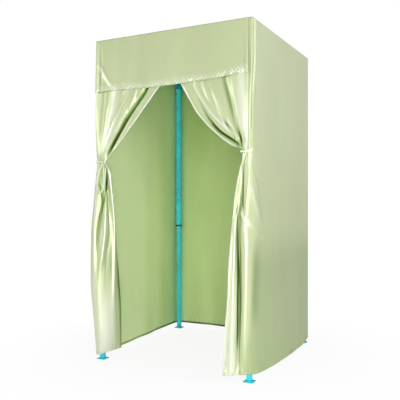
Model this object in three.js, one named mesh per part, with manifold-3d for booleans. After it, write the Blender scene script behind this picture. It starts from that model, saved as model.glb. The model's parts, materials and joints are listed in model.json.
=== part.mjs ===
// Portable fitting room: a folding steel frame with four telescopic legs and crossing bars,
// under a satin cover with three walls, a roof, a valance and two tied-back curtains.
// Millimetres, +Z up. The origin is on the floor under the middle of the cabin, the doorway faces -Y.
import * as THREE from 'three';
import { mergeVertices } from 'three/addons/utils/BufferGeometryUtils.js';
import Module from 'manifold-3d';

const wasm = await Module();
wasm.setup();

// Overall sizes
const coverWidth = 1000;
const coverHeight = 1900;
const cloth = 1.2;
const legInset = 28;
const gap = 0.3;
const overrun = 1;
const halfCover = coverWidth / 2;
const legAxis = halfCover - legInset;

// Brackets at the leg tops, and the sliders below them
const bracket = { tall: 46.2, capThick: 11.9, pivotDrop: 26.2 };
const frameTop = coverHeight - cloth - 2 * gap;
const pocketTop = frameTop - bracket.capThick;
const upperPivot = frameTop - bracket.pivotDrop;
const pivotSpacing = 62;
const lowerPivot = upperPivot - pivotSpacing;
const slider = { above: 12, below: 34 };
const pivotReach = 30;

// Leg tubes
const outerTube = { size: 30, wall: 1, length: 1123 };
const outerHigh = pocketTop - gap;
const outerLow = outerHigh - outerTube.length;
const outerBore = outerTube.size - 2 * outerTube.wall;
const sleeve = { size: 38, bore: outerTube.size + 2 * gap };
const buttonHoles = { lowest: 39, pitch: 76, count: 4, used: 1, radius: 4.6 };
const snapHeight = outerLow + buttonHoles.lowest + buttonHoles.used * buttonHoles.pitch;
const innerTube = { size: 25, wall: 1, overlap: 60 };
const innerBore = innerTube.size - 2 * innerTube.wall;
const foot = { size: 54, plate: 4, bossLow: 44, bossHigh: 32, bossTop: 8.7, spigotTall: 21.3 };
const bush = { wall: 0.8, below: 8, above: 3 };

// Crossing bars, their pins and rivets
const bar = { tall: 20, thick: 10, skin: 1.2, solidEnd: 14 };
const pinRadius = 3;
const fork = { ear: 4, radius: bar.tall / 2, root: sleeve.size / 2 - overrun };
const forkNear = [-fork.ear, 0];
const forkFar = [bar.thick + 2 * gap, bar.thick + 2 * gap + fork.ear];
const rivet = { headRadius: 5, headThick: 1.5 };
const rivetTip = -(bar.thick + 2 * gap + rivet.headThick);
const halfSpan = legAxis - pivotReach;
const barLength = Math.hypot(halfSpan, pivotSpacing);
const barSlope = Math.atan2(pivotSpacing, halfSpan);

// Spring clips: a button on a V spring inside a tube
const clip = { strip: 1, over: 9, below: 42 };
const snapClip = { radius: 4.2, width: 12, reach: innerBore / 2 - gap, tip: outerTube.size / 2 + 2 };
const catchClip = { radius: 4, width: 14, reach: outerBore / 2 - gap, tip: sleeve.size / 2 + 1.5 };
const catchHole = catchClip.radius + 0.4;
const catchHeight = lowerPivot - 24;

// Cover cloth: middle planes of its sides and top, and the strips turned over the roof's edge
const clothMid = halfCover - cloth / 2;
const topMid = coverHeight - cloth / 2;
const returnDepth = 45;
const returnRun = clothMid - (halfCover - returnDepth);
const returnInner = halfCover - returnDepth - 2 * gap;

// Plan tables of the cloths, as shares: each row is a share of the cover's height, then x and y pairs
// as shares of its width, from the first track across the cloth to the last. The hem's heights are
// shares of the cover's height too.
const curtainLeftShares = {
  at: [0, 0.08, 0.37, 0.68, 1],
  rows: [
    [0.993, -0.4993, -0.4846, -0.497, -0.4972, -0.33, -0.4974, -0.16, -0.4974, 0.0142, -0.4974],
    [0.937, -0.4992, -0.4846, -0.498, -0.4973, -0.331, -0.4978, -0.16, -0.4978, 0.0142, -0.4978],
    [0.895, -0.499, -0.4846, -0.499, -0.498, -0.333, -0.4995, -0.16, -0.4995, 0.0142, -0.4995],
    [0.868, -0.499, -0.4846, -0.5005, -0.498, -0.337, -0.501, -0.168, -0.501, 0.012, -0.501],
    [0.842, -0.499, -0.4846, -0.501, -0.499, -0.346, -0.503, -0.198, -0.503, -0.045, -0.503],
    [0.805, -0.4987, -0.4846, -0.502, -0.501, -0.366, -0.506, -0.233, -0.506, -0.107, -0.505],
    [0.774, -0.4985, -0.4846, -0.502, -0.503, -0.386, -0.509, -0.268, -0.509, -0.157, -0.507],
    [0.729, -0.497, -0.4846, -0.5015, -0.503, -0.414, -0.511, -0.318, -0.511, -0.23, -0.508],
    [0.679, -0.495, -0.4846, -0.498, -0.502, -0.443, -0.511, -0.38, -0.51, -0.321, -0.506],
    [0.643, -0.493, -0.4846, -0.494, -0.5, -0.466, -0.51, -0.43, -0.509, -0.396, -0.505],
    [0.626, -0.4926, -0.4846, -0.4915, -0.499, -0.474, -0.507, -0.456, -0.506, -0.442, -0.502],
    [0.617, -0.4925, -0.4846, -0.491, -0.499, -0.476, -0.507, -0.46, -0.506, -0.446, -0.502],
    [0.607, -0.4926, -0.4846, -0.492, -0.499, -0.475, -0.507, -0.457, -0.505, -0.44, -0.501],
    [0.579, -0.493, -0.4846, -0.497, -0.501, -0.475, -0.51, -0.446, -0.502, -0.412, -0.491],
    [0.5, -0.498, -0.4846, -0.51, -0.508, -0.48, -0.517, -0.441, -0.498, -0.402, -0.465],
    [0.421, -0.499, -0.4846, -0.517, -0.52, -0.483, -0.525, -0.438, -0.497, -0.402, -0.443],
    [0.337, -0.4993, -0.4846, -0.52, -0.529, -0.484, -0.529, -0.437, -0.497, -0.401, -0.425],
    [0.253, -0.4993, -0.4846, -0.517, -0.531, -0.482, -0.53, -0.436, -0.495, -0.396, -0.412],
    [0.158, -0.499, -0.4846, -0.511, -0.52, -0.479, -0.523, -0.435, -0.491, -0.389, -0.403],
    [0.079, -0.498, -0.4846, -0.502, -0.509, -0.476, -0.515, -0.436, -0.488, -0.39, -0.397],
    [0.018, -0.497, -0.4846, -0.497, -0.502, -0.472, -0.51, -0.44, -0.487, -0.396, -0.39],
  ],
  hem: [0.0142, 0.0147, 0.0163, 0.0221, 0.0289],
};
const curtainRightShares = {
  at: [0, 0.25, 0.5, 0.75, 1],
  rows: [
    [0.993, 0.482, -0.4974, 0.372, -0.4974, 0.25, -0.4974, 0.133, -0.4974, 0.0152, -0.4974],
    [0.937, 0.4815, -0.4972, 0.373, -0.4978, 0.253, -0.4978, 0.137, -0.4978, 0.016, -0.4978],
    [0.911, 0.4813, -0.497, 0.374, -0.499, 0.256, -0.499, 0.14, -0.499, 0.018, -0.499],
    [0.884, 0.481, -0.497, 0.376, -0.5005, 0.262, -0.5005, 0.148, -0.5005, 0.034, -0.5005],
    [0.842, 0.4805, -0.4973, 0.38, -0.503, 0.274, -0.504, 0.171, -0.504, 0.073, -0.503],
    [0.789, 0.4803, -0.498, 0.387, -0.507, 0.302, -0.508, 0.214, -0.508, 0.133, -0.507],
    [0.752, 0.48, -0.4982, 0.394, -0.509, 0.325, -0.51, 0.248, -0.51, 0.178, -0.509],
    [0.721, 0.4795, -0.4984, 0.404, -0.51, 0.346, -0.511, 0.286, -0.511, 0.227, -0.509],
    [0.691, 0.4785, -0.4986, 0.417, -0.51, 0.374, -0.511, 0.329, -0.511, 0.286, -0.508],
    [0.664, 0.477, -0.4983, 0.434, -0.509, 0.405, -0.51, 0.377, -0.509, 0.351, -0.506],
    [0.647, 0.4745, -0.4983, 0.451, -0.506, 0.435, -0.508, 0.418, -0.5075, 0.404, -0.5045],
    [0.642, 0.474, -0.498, 0.459, -0.503, 0.45, -0.506, 0.444, -0.5065, 0.441, -0.5035],
    [0.636, 0.4725, -0.498, 0.461, -0.503, 0.453, -0.5055, 0.448, -0.506, 0.445, -0.503],
    [0.628, 0.469, -0.498, 0.459, -0.5035, 0.453, -0.506, 0.448, -0.5065, 0.446, -0.5035],
    [0.616, 0.4605, -0.498, 0.456, -0.506, 0.453, -0.508, 0.45, -0.507, 0.447, -0.503],
    [0.577, 0.4462, -0.499, 0.441, -0.509, 0.437, -0.512, 0.432, -0.512, 0.4285, -0.508],
    [0.5, 0.4358, -0.496, 0.429, -0.514, 0.421, -0.518, 0.413, -0.519, 0.4065, -0.5145],
    [0.458, 0.4318, -0.494, 0.424, -0.517, 0.415, -0.522, 0.406, -0.522, 0.3985, -0.518],
    [0.416, 0.4223, -0.494, 0.416, -0.519, 0.408, -0.525, 0.399, -0.525, 0.391, -0.522],
    [0.362, 0.4238, -0.494, 0.415, -0.522, 0.406, -0.528, 0.396, -0.53, 0.388, -0.526],
    [0.307, 0.428, -0.494, 0.415, -0.524, 0.402, -0.531, 0.391, -0.532, 0.381, -0.529],
    [0.225, 0.431, -0.494, 0.415, -0.527, 0.4, -0.534, 0.385, -0.536, 0.372, -0.534],
    [0.101, 0.428, -0.496, 0.41, -0.53, 0.392, -0.537, 0.373, -0.539, 0.357, -0.538],
    [0.017, 0.428, -0.513, 0.408, -0.528, 0.387, -0.531, 0.364, -0.538, 0.345, -0.54],
  ],
  hem: [0.0221, 0.0205, 0.0189, 0.0174, 0.0168],
};
const wallRightShares = {
  at: [0, 0.06, 0.13, 0.22, 0.32, 0.46, 0.64, 0.82, 1],
  rows: [
    [1, 0.4793, -0.4993, 0.49, -0.4993, 0.4991, -0.491, 0.4993, -0.465, 0.4993, -0.41, 0.4993, -0.26,
      0.4993, 0, 0.4993, 0.25, 0.4993, 0.5],
    [0.842, 0.4785, -0.5005, 0.49, -0.5005, 0.4995, -0.491, 0.4993, -0.465, 0.4993, -0.41, 0.4993,
      -0.26, 0.4993, 0, 0.4993, 0.25, 0.4993, 0.5],
    [0.752, 0.478, -0.5015, 0.489, -0.5015, 0.4995, -0.491, 0.4993, -0.465, 0.4993, -0.41, 0.4993,
      -0.26, 0.4993, 0, 0.4993, 0.25, 0.4993, 0.5],
    [0.684, 0.476, -0.5025, 0.487, -0.5025, 0.498, -0.492, 0.4993, -0.466, 0.4993, -0.41, 0.4993,
      -0.26, 0.4993, 0, 0.4993, 0.25, 0.4993, 0.5],
    [0.645, 0.472, -0.503, 0.482, -0.503, 0.495, -0.493, 0.499, -0.467, 0.4993, -0.41, 0.4995, -0.26,
      0.4993, 0, 0.4993, 0.25, 0.4993, 0.5],
    [0.636, 0.47, -0.5035, 0.48, -0.503, 0.494, -0.494, 0.499, -0.468, 0.4994, -0.412, 0.4995, -0.26,
      0.4993, 0, 0.4993, 0.25, 0.4993, 0.5],
    [0.616, 0.463, -0.5025, 0.473, -0.5045, 0.491, -0.499, 0.499, -0.472, 0.5, -0.415, 0.5, -0.26,
      0.4995, 0, 0.4993, 0.25, 0.4993, 0.5],
    [0.579, 0.4507, -0.501, 0.461, -0.506, 0.484, -0.503, 0.497, -0.478, 0.5015, -0.425, 0.5005, -0.26,
      0.5, 0, 0.4995, 0.25, 0.4993, 0.5],
    [0.5, 0.439, -0.497, 0.447, -0.507, 0.47, -0.511, 0.494, -0.487, 0.504, -0.43, 0.502, -0.26, 0.502,
      0, 0.501, 0.25, 0.4993, 0.5],
    [0.458, 0.435, -0.495, 0.443, -0.508, 0.466, -0.513, 0.492, -0.49, 0.506, -0.432, 0.5035, -0.26,
      0.5035, 0, 0.5025, 0.25, 0.4993, 0.5],
    [0.416, 0.4255, -0.495, 0.435, -0.509, 0.459, -0.517, 0.489, -0.495, 0.506, -0.434, 0.506, -0.26,
      0.505, 0, 0.504, 0.25, 0.4993, 0.5],
    [0.316, 0.431, -0.495, 0.44, -0.51, 0.46, -0.518, 0.489, -0.497, 0.508, -0.434, 0.511, -0.26,
      0.511, 0, 0.509, 0.25, 0.4993, 0.5],
    [0.226, 0.434, -0.495, 0.442, -0.51, 0.461, -0.518, 0.489, -0.499, 0.509, -0.435, 0.516, -0.26,
      0.517, 0, 0.514, 0.25, 0.4994, 0.5],
    [0.105, 0.431, -0.497, 0.44, -0.511, 0.459, -0.518, 0.489, -0.501, 0.511, -0.44, 0.521, -0.258,
      0.524, 0, 0.521, 0.25, 0.4994, 0.5],
    [0.018, 0.431, -0.514, 0.442, -0.52, 0.46, -0.516, 0.487, -0.501, 0.513, -0.449, 0.525, -0.27,
      0.53, 0, 0.528, 0.24, 0.4994, 0.5],
  ],
  hem: [0.0221, 0.0226, 0.0237, 0.0242, 0.0226, 0.0195, 0.0163, 0.0158, 0.0158],
};

// Heights of the rows of the cloths, close together where the ties draw them in
const levelsLeftShare = [0.993, 0.926, 0.874, 0.832, 0.789, 0.737, 0.684, 0.647, 0.626, 0.617, 0.607, 0.574,
  0.516, 0.442, 0.358, 0.263, 0.147, 0.068, 0.018];
const levelsRightShare = [0.993, 0.926, 0.879, 0.837, 0.795, 0.753, 0.711, 0.674, 0.651, 0.642, 0.63, 0.605,
  0.558, 0.489, 0.411, 0.316, 0.2, 0.095, 0.017];
const levelsPlainShare = [0.994, 0.842, 0.684, 0.553, 0.432, 0.316, 0.211, 0.105, 0.0174];
const levelsWallShare = [0.842, 0.737, 0.668, 0.642, 0.63, 0.6, 0.558, 0.5, 0.432, 0.358, 0.263, 0.174,
  0.089, 0.0184];

// Valance: x as a share of the width and bottom edge as a share of the height
const valanceEdgeShare = [[-0.4995, 0.8358], [-0.47, 0.8379], [-0.33, 0.8379], [-0.12, 0.8358],
  [0.098, 0.8374], [0.316, 0.8432], [0.4785, 0.8489]];
const valanceEndsShare = [-0.4995, 0.4785];
const valance = { stand: 12, ripple: 1.8, ripples: 7, rows: 6 };

// Folds above and below the ties: place across the cloth, half width and depth
const foldsUpperLeftShare = [[0.17, 0.07, 0.45], [0.36, 0.07, 0.5], [0.54, 0.07, 0.55], [0.79, 0.09, 1]];
const foldsUpperRightShare = [[0.16, 0.06, 0.2], [0.41, 0.09, 1], [0.66, 0.08, 0.35], [0.87, 0.06, 0.8]];
const foldsLowerLeftShare = [[0.27, 0.1, 1], [0.58, 0.09, 0.8]];
const foldsLowerRightShare = [[0.5, 0.18, 1]];
// Fold depth against height, as shares of the deepest fold and of the cover's height
const foldDepth = 20;
const depthUpperLeftShare = [[0.993, 0], [0.937, 0.1], [0.895, 0.3], [0.842, 0.65], [0.763, 1], [0.7, 0.85],
  [0.653, 0.4], [0.626, 0.1], [0.61, 0], [0, 0]];
const depthUpperRightShare = [[0.993, 0], [0.937, 0.1], [0.895, 0.3], [0.842, 0.65], [0.763, 1],
  [0.716, 0.85], [0.668, 0.4], [0.645, 0.1], [0.629, 0], [0, 0]];
const depthLowerLeftShare = [[0.993, 0], [0.61, 0], [0.579, 0.3], [0.505, 1], [0.421, 1], [0.358, 0.5],
  [0.295, 0.1], [0.21, 0], [0, 0]];
const depthLowerRightShare = [[0.993, 0], [0.626, 0], [0.59, 0.15], [0.5, 0.3], [0.316, 0.4], [0.158, 0.35],
  [0, 0.2]];
const crestShare = 0.25;
const probeShare = 0.01;
const edgeShare = 0.05;
const hemReach = 450;

// Back and left walls: how far they lean out, with y and lean as shares of the width
const wallBelly = { back: 22, topShare: 0.636, power: 1.2 };
const leftLeanShare = [[-0.4843, 0.012], [-0.29, 0.017], [-0.1, 0.009], [0.1, 0.002], [0.33, -0.008],
  [0.45, -0.006], [0.5, 0]];
const leftFrontDrop = 6;
const wallWave = { depth: 1.6, backCount: 5, leftCount: 4 };
const leftFrontEdgeShare = [[1, -0.4993], [0.774, -0.4985], [0.679, -0.495], [0.617, -0.4925],
  [0.579, -0.493], [0.5, -0.498], [0.337, -0.4993], [0.158, -0.499], [0.079, -0.498], [0.014, -0.497]];
const wallFrontShare = -0.4843;
const wallFrontTopShare = -0.498;
const leftEdgeShare = 1 / 9;
const waveEdgeShare = 1 / 6;
const rightReturnShare = [[0, -0.4547], [0.06, -0.451], [0.13, -0.446], [0.22, -0.436], [0.32, -0.4],
  [0.46, -0.255], [0.64, 0], [0.82, 0.23], [1, 0.454]];

// Ties: plan outline of each strap as shares of the width, and where the knots and ends sit
const tieLeftShare = 0.617;
const tieRightShare = 0.636;
const strap = { thick: 1.4, tall: 20 };
const strapLeftShare = [[-0.494, -0.4885], [-0.4966, -0.502], [-0.492, -0.5105], [-0.476, -0.5145],
  [-0.456, -0.5135], [-0.443, -0.5095], [-0.4385, -0.502], [-0.441, -0.4945], [-0.45, -0.4913],
  [-0.47, -0.4906]];
const strapRightShare = [[0.5005, -0.475], [0.4985, -0.5], [0.49, -0.5075], [0.48, -0.5105], [0.465, -0.513],
  [0.45, -0.514], [0.439, -0.511], [0.4345, -0.5035], [0.4375, -0.4965], [0.446, -0.4936], [0.458, -0.4926]];
const knot = { radius: 9, wideShare: 1.15, deepShare: 0.55, tallShare: 0.95 };
const knotLeftShare = [-0.469, -0.516];
const knotRightShare = [0.474, -0.5125];
const hangingLoop = { wide: 40, tall: 145, holeWide: 15, topBand: 29, lowBand: 21, thick: 1.4, tilt: 0.05,
  above: 4, points: 16, waistShare: 0.24, swellShare: 0.38, fullShare: 1.3 };
const hangingLoopShare = [-0.469, -0.5165];
const strapEnd = { length: 36, rootTall: 9, tipTall: 3, thick: 1.4, above: 2 };
const strapEndShare = [0.476, -0.5146];

// Colours
const cyanLow = 0x40cdde;
const cyanHigh = 0x1296a5;
const darkGrey = 0x2b3a3d;
const steelGrey = 0x9fb2b4;
const satin = 0xc4d2a4;
const satinInside = 0xa9c07c;
const tieSatin = 0xdfe6c8;

// Geometry helpers
function box(low, high) {
  const size = high.map((value, i) => value - low[i]);
  const middle = high.map((value, i) => (value + low[i]) / 2);
  return new THREE.BoxGeometry(...size).translate(...middle);
}

function squareBlock(size, low, high) {
  return box([-size / 2, -size / 2, low], [size / 2, size / 2, high]);
}

function rodAlongY(radius, from, to, x, z, sides = 8) {
  return new THREE.CylinderGeometry(radius, radius, to - from, sides).translate(x, (from + to) / 2, z);
}

function solid(geometry) {
  const bare = geometry.clone();
  bare.deleteAttribute('normal');
  bare.deleteAttribute('uv');
  const merged = mergeVertices(bare, 1e-4);
  return new wasm.Manifold(new wasm.Mesh({
    numProp: 3,
    vertProperties: new Float32Array(merged.attributes.position.array),
    triVerts: new Uint32Array(merged.index.array),
  }));
}

function join(geometries) {
  return geometries.map(solid).reduce((whole, next) => whole.add(next));
}

function carve(whole, geometries) {
  return geometries.map(solid).reduce((rest, next) => rest.subtract(next), whole);
}

function geometryOf(manifold) {
  const mesh = manifold.getMesh();
  const geometry = new THREE.BufferGeometry();
  geometry.setAttribute('position', new THREE.BufferAttribute(new Float32Array(mesh.vertProperties), 3));
  geometry.setIndex(new THREE.BufferAttribute(new Uint32Array(mesh.triVerts), 1));
  return geometry;
}

function outlineAlongY(points, from, to) {
  // An outline in x and z, drawn out along y
  const shape = new THREE.Shape(points.map(([x, z]) => new THREE.Vector2(x, -z)));
  return new THREE.ExtrudeGeometry(shape, { depth: to - from, bevelEnabled: false })
    .rotateX(-Math.PI / 2).translate(0, from, 0);
}

function outlineAlongZ(points, low, high) {
  const shape = new THREE.Shape(points.map(([x, y]) => new THREE.Vector2(x, y)));
  return new THREE.ExtrudeGeometry(shape, { depth: high - low, bevelEnabled: false }).translate(0, 0, low);
}

// Smooth curve through the rows of a table, sorted by its first column either way. It never
// swings past its rows: the slope at a row is the harmonic mean of those on its two sides.
function slopeAt(table, i, column) {
  const secant = (j) => (table[j + 1][column] - table[j][column]) / (table[j + 1][0] - table[j][0]);
  if (i === 0) return secant(0);
  if (i === table.length - 1) return secant(i - 1);
  const [before, after] = [secant(i - 1), secant(i)];
  return before * after > 0 ? 2 * before * after / (before + after) : 0;
}

function smooth(table, at, column = 1) {
  const falling = table[0][0] > table[table.length - 1][0];
  let i = 0;
  while (i < table.length - 2 && (falling ? at < table[i + 1][0] : at > table[i + 1][0])) i += 1;
  const [a, b] = [table[i], table[i + 1]];
  const width = b[0] - a[0];
  const t = Math.min(Math.max((at - a[0]) / width, 0), 1);
  const startSlope = slopeAt(table, i, column) * width;
  const endSlope = slopeAt(table, i + 1, column) * width;
  return a[column] * (1 + 2 * t) * (1 - t) ** 2 + startSlope * t * (1 - t) ** 2
    + b[column] * t * t * (3 - 2 * t) + endSlope * t * t * (t - 1);
}

// Plan position of a cloth at a share across it and a height
function planPoint(tracks, across, height) {
  const heightShare = height / coverHeight;
  const xs = tracks.at.map((share, i) => [share, smooth(tracks.rows, heightShare, 1 + 2 * i)]);
  const ys = tracks.at.map((share, i) => [share, smooth(tracks.rows, heightShare, 2 + 2 * i)]);
  return [smooth(xs, across) * coverWidth, smooth(ys, across) * coverWidth];
}

// Height of a cloth's hem at a share across it
function hemAt(tracks, across) {
  return smooth(tracks.at.map((share, i) => [share, tracks.hem[i]]), across) * coverHeight;
}

// Row heights of a cloth that hangs from the roof's edge, and of one that turns over it
function hungLevels(shares) {
  return shares.map((share) => share * coverHeight);
}

function turnedLevels(shares) {
  return [topMid + returnRun, topMid, ...hungLevels(shares)];
}

function valleys(folds, across) {
  return folds.reduce((sum, [place, half, depth]) => {
    const offset = Math.abs(across - place) / half;
    return offset < 1 ? sum - depth * Math.cos(offset * Math.PI / 2) ** 2 : sum;
  }, 0);
}

// A closed thin sheet: a finely divided box whose faces are carried to the two sides of a surface
function sheet(columns, rows, surface, thickness = cloth) {
  const geometry = new THREE.BoxGeometry(1, 1, 1, columns, rows, 1);
  const place = geometry.attributes.position;
  const step = probeShare / 10;
  for (let i = 0; i < place.count; i += 1) {
    const across = place.getX(i) + 0.5;
    const down = 0.5 - place.getY(i);
    const side = place.getZ(i);
    const here = surface(across, down);
    const right = surface(Math.min(across + step, 1), down).sub(surface(Math.max(across - step, 0), down));
    const below = surface(across, Math.min(down + step, 1)).sub(surface(across, Math.max(down - step, 0)));
    const normal = below.cross(right).normalize();
    here.addScaledVector(normal, side * thickness);
    place.setXYZ(i, here.x, here.y, here.z);
  }
  return geometry;
}

// The level at a share down a list of row heights
function levelDown(levels, down) {
  const place = down * (levels.length - 1);
  const i = Math.min(Math.floor(place), levels.length - 2);
  return levels[i] + (levels[i + 1] - levels[i]) * (place - i);
}

// The hem rises and falls along its edge, and less and less above it
function lifted(level, lowest, hem) {
  return level + (hem - lowest) * Math.max(0, 1 - (level - lowest) / hemReach) ** 2;
}

function pleated(tracks, levels, upperFolds, upperDepth, lowerFolds, lowerDepth) {
  const lowest = levels[levels.length - 1];
  return (across, down) => {
    const level = levelDown(levels, down);
    const height = lifted(level, lowest, hemAt(tracks, across));
    const [x, y] = planPoint(tracks, across, level);
    const [x1, y1] = planPoint(tracks, Math.max(across - probeShare, 0), level);
    const [x2, y2] = planPoint(tracks, Math.min(across + probeShare, 1), level);
    const length = Math.hypot(x2 - x1, y2 - y1);
    const turn = Math.sign(x2 - x1) || 1;
    const edge = foldDepth * Math.min(1, across / edgeShare);
    const levelShare = level / coverHeight;
    const fold = edge * (smooth(upperDepth, levelShare) * (crestShare + valleys(upperFolds, across))
      + smooth(lowerDepth, levelShare) * (crestShare + valleys(lowerFolds, across)));
    const outX = turn * (y2 - y1) / length;
    const outY = -turn * (x2 - x1) / length;
    return new THREE.Vector3(x + outX * fold, y + outY * fold, height);
  };
}

// Leg parts, drawn with the leg's axis at the origin, one pair of bars leaving along +x
// and the other along -y
function legOuter() {
  const tube = carve(solid(squareBlock(outerTube.size, outerLow, outerHigh)),
    [squareBlock(outerBore, outerLow - overrun, outerHigh + overrun)]);
  const holes = Array.from({ length: buttonHoles.count }, (_, i) => rodAlongY(buttonHoles.radius,
    -outerTube.size, -outerBore / 4, 0, outerLow + buttonHoles.lowest + i * buttonHoles.pitch));
  holes.push(rodAlongY(catchHole, -outerTube.size, -outerBore / 4, 0, catchHeight));
  return carve(tube, holes);
}

function legInner() {
  const [low, high] = [foot.bossTop + gap, snapHeight + innerTube.overlap];
  const tube = carve(solid(squareBlock(innerTube.size, low, high)),
    [squareBlock(innerBore, low - overrun, high + overrun)]);
  return carve(tube, [rodAlongY(buttonHoles.radius, -innerTube.size, -innerBore / 4, 0, snapHeight)]);
}

function legFoot() {
  const bossLow = foot.plate - overrun;
  const boss = new THREE.CylinderGeometry(foot.bossHigh * Math.SQRT1_2, foot.bossLow * Math.SQRT1_2,
    foot.bossTop - bossLow, 4).rotateX(Math.PI / 2).rotateZ(Math.PI / 4)
    .translate(0, 0, (foot.bossTop + bossLow) / 2);
  return join([squareBlock(foot.size, 0, foot.plate), boss,
    squareBlock(innerBore - 2 * gap, foot.bossTop - overrun, foot.bossTop + foot.spigotTall)]);
}

function legBush() {
  const [low, high] = [outerLow - bush.below, outerLow + bush.above];
  return carve(solid(squareBlock(sleeve.bore + 2 * bush.wall, low, high)),
    [squareBlock(innerTube.size + 2 * gap, low - overrun, high + overrun),
      squareBlock(sleeve.bore, outerLow - gap, high + overrun)]);
}

// One fork: two ears and their pin, for a bar in the outer or the inner layer
function forkParts(layer, height) {
  const ears = [forkNear, forkFar].map((span) => span.map((y) => layer * y).sort((a, b) => a - b));
  const ends = ears.flatMap(([from, to]) => [
    box([fork.root, from, height - fork.radius], [pivotReach, to, height + fork.radius]),
    rodAlongY(fork.radius, from, to, pivotReach, height, 12)]);
  const reach = [forkNear[0], forkFar[1]].map((y) => layer * y).sort((a, b) => a - b);
  return [...ends, rodAlongY(pinRadius, reach[0] + gap, reach[1] - gap, pivotReach, height)];
}

function bothForks(layer, height) {
  const first = forkParts(layer, height);
  return [...first, ...first.map((part) => part.clone().rotateZ(-Math.PI / 2))];
}

function legBracket() {
  const low = frameTop - bracket.tall;
  const cap = carve(solid(squareBlock(sleeve.size, low, frameTop)),
    [squareBlock(sleeve.bore, low - overrun, pocketTop)]);
  return cap.add(join(bothForks(1, upperPivot)));
}

function legSlider() {
  const [low, high] = [lowerPivot - slider.below, lowerPivot + slider.above];
  const ring = solid(squareBlock(sleeve.size, low, high)).add(join(bothForks(-1, lowerPivot)));
  return carve(ring, [squareBlock(sleeve.bore, low - overrun, high + overrun),
    rodAlongY(catchHole, -sleeve.size, -sleeve.bore / 4, 0, catchHeight)]);
}

// A spring strip bent to a V, drawn in y and z and given its width along x
function springClip(button, height) {
  const near = -button.reach;
  const low = height - clip.below;
  const high = height + clip.over;
  const s = clip.strip;
  const points = [[near, high], [near, low + 3 * s], [near + 2 * s, low], [near + 4 * s, low + 2 * s],
    [-near, high - 2 * s], [-near - s, high - s], [near + 3 * s, low + 4 * s], [near + 2 * s, low + 2 * s],
    [near + s, low + 4 * s], [near + s, high]];
  const shape = new THREE.Shape(points.map(([y, z]) => new THREE.Vector2(y, z)));
  const strip = new THREE.ExtrudeGeometry(shape, { depth: button.width, bevelEnabled: false })
    .rotateX(Math.PI / 2).rotateZ(Math.PI / 2).translate(-button.width / 2, 0, 0);
  return join([strip, rodAlongY(button.radius, -button.tip, near + s / 2, 0, height)]);
}

// Crossing bars of one side, drawn with that side running along +x from its first leg
function barParts(layer, holes, pins) {
  const shape = new THREE.Shape();
  const r = bar.tall / 2;
  shape.moveTo(0, -r);
  shape.lineTo(barLength, -r);
  shape.absarc(barLength, 0, r, -Math.PI / 2, Math.PI / 2, false);
  shape.lineTo(0, r);
  shape.absarc(0, 0, r, Math.PI / 2, 3 * Math.PI / 2, false);
  holes.forEach((place) => {
    const hole = new THREE.Path();
    hole.absarc(place * barLength, 0, pinRadius + gap, 0, 2 * Math.PI, true);
    shape.holes.push(hole);
  });
  const flat = new THREE.ExtrudeGeometry(shape, { depth: bar.thick, bevelEnabled: false, curveSegments: 4 });
  const depth = layer > 0 ? gap + bar.thick : -gap;
  // Channel section: a pocket on each side of the middle pivot, open towards the other layer
  const pocketY = layer > 0 ? [gap - overrun, depth - bar.skin]
    : [depth - bar.thick + bar.skin, depth + overrun];
  const pockets = [0, barLength / 2].map((from) => box([from + bar.solidEnd, pocketY[0], bar.skin - r],
    [from + barLength / 2 - bar.solidEnd, pocketY[1], r - bar.skin]));
  const body = carve(solid(flat.rotateX(Math.PI / 2).translate(0, depth, 0)), pockets);
  const headEnd = rivetTip + rivet.headThick;
  const rivets = pins.flatMap((place) => [
    rodAlongY(pinRadius, headEnd - rivet.headThick / 2, bar.thick / 2, place * barLength, 0),
    rodAlongY(rivet.headRadius, rivetTip, headEnd, place * barLength, 0)]);
  return rivets.map(solid).reduce((whole, next) => whole.add(next), body);
}

function placedBar(manifold, x, z, slope) {
  return geometryOf(manifold).rotateY(slope).translate(x, 0, z);
}

function sideBars() {
  const start = pivotReach;
  const middle = pivotReach + halfSpan;
  return {
    a1: placedBar(barParts(1, [0], [0.5, 1]), start, upperPivot, barSlope),
    a2: placedBar(barParts(-1, [0, 0.5, 1], []), start, lowerPivot, -barSlope),
    b1: placedBar(barParts(-1, [0, 0.5, 1], []), middle, lowerPivot, -barSlope),
    b2: placedBar(barParts(1, [1], [0, 0.5]), middle, upperPivot, barSlope),
  };
}

// Cover: a level above the roof's middle plane means a place on the strip turned over the roof's edge
function overEdge(level) {
  return { height: Math.min(level, topMid), inset: Math.max(0, level - topMid) };
}

function bellyShare(height) {
  const top = wallBelly.topShare * coverHeight;
  return Math.max(0, (top - height) / top) ** wallBelly.power;
}

function wallBackSurface(across, down) {
  const { height, inset } = overEdge(levelDown(turnedLevels(levelsPlainShare), down));
  const reach = halfCover - cloth - 3 * gap - inset;
  const x = (2 * across - 1) * reach;
  const flat = 1 - Math.min(1, Math.abs(x / halfCover)) ** 6;
  const fall = 1 - height / coverHeight;
  const wave = wallWave.depth * Math.sin(across * wallWave.backCount * 2 * Math.PI) * flat * fall;
  return new THREE.Vector3(x, clothMid - inset + flat * wallBelly.back * bellyShare(height) + wave, height);
}

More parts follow.
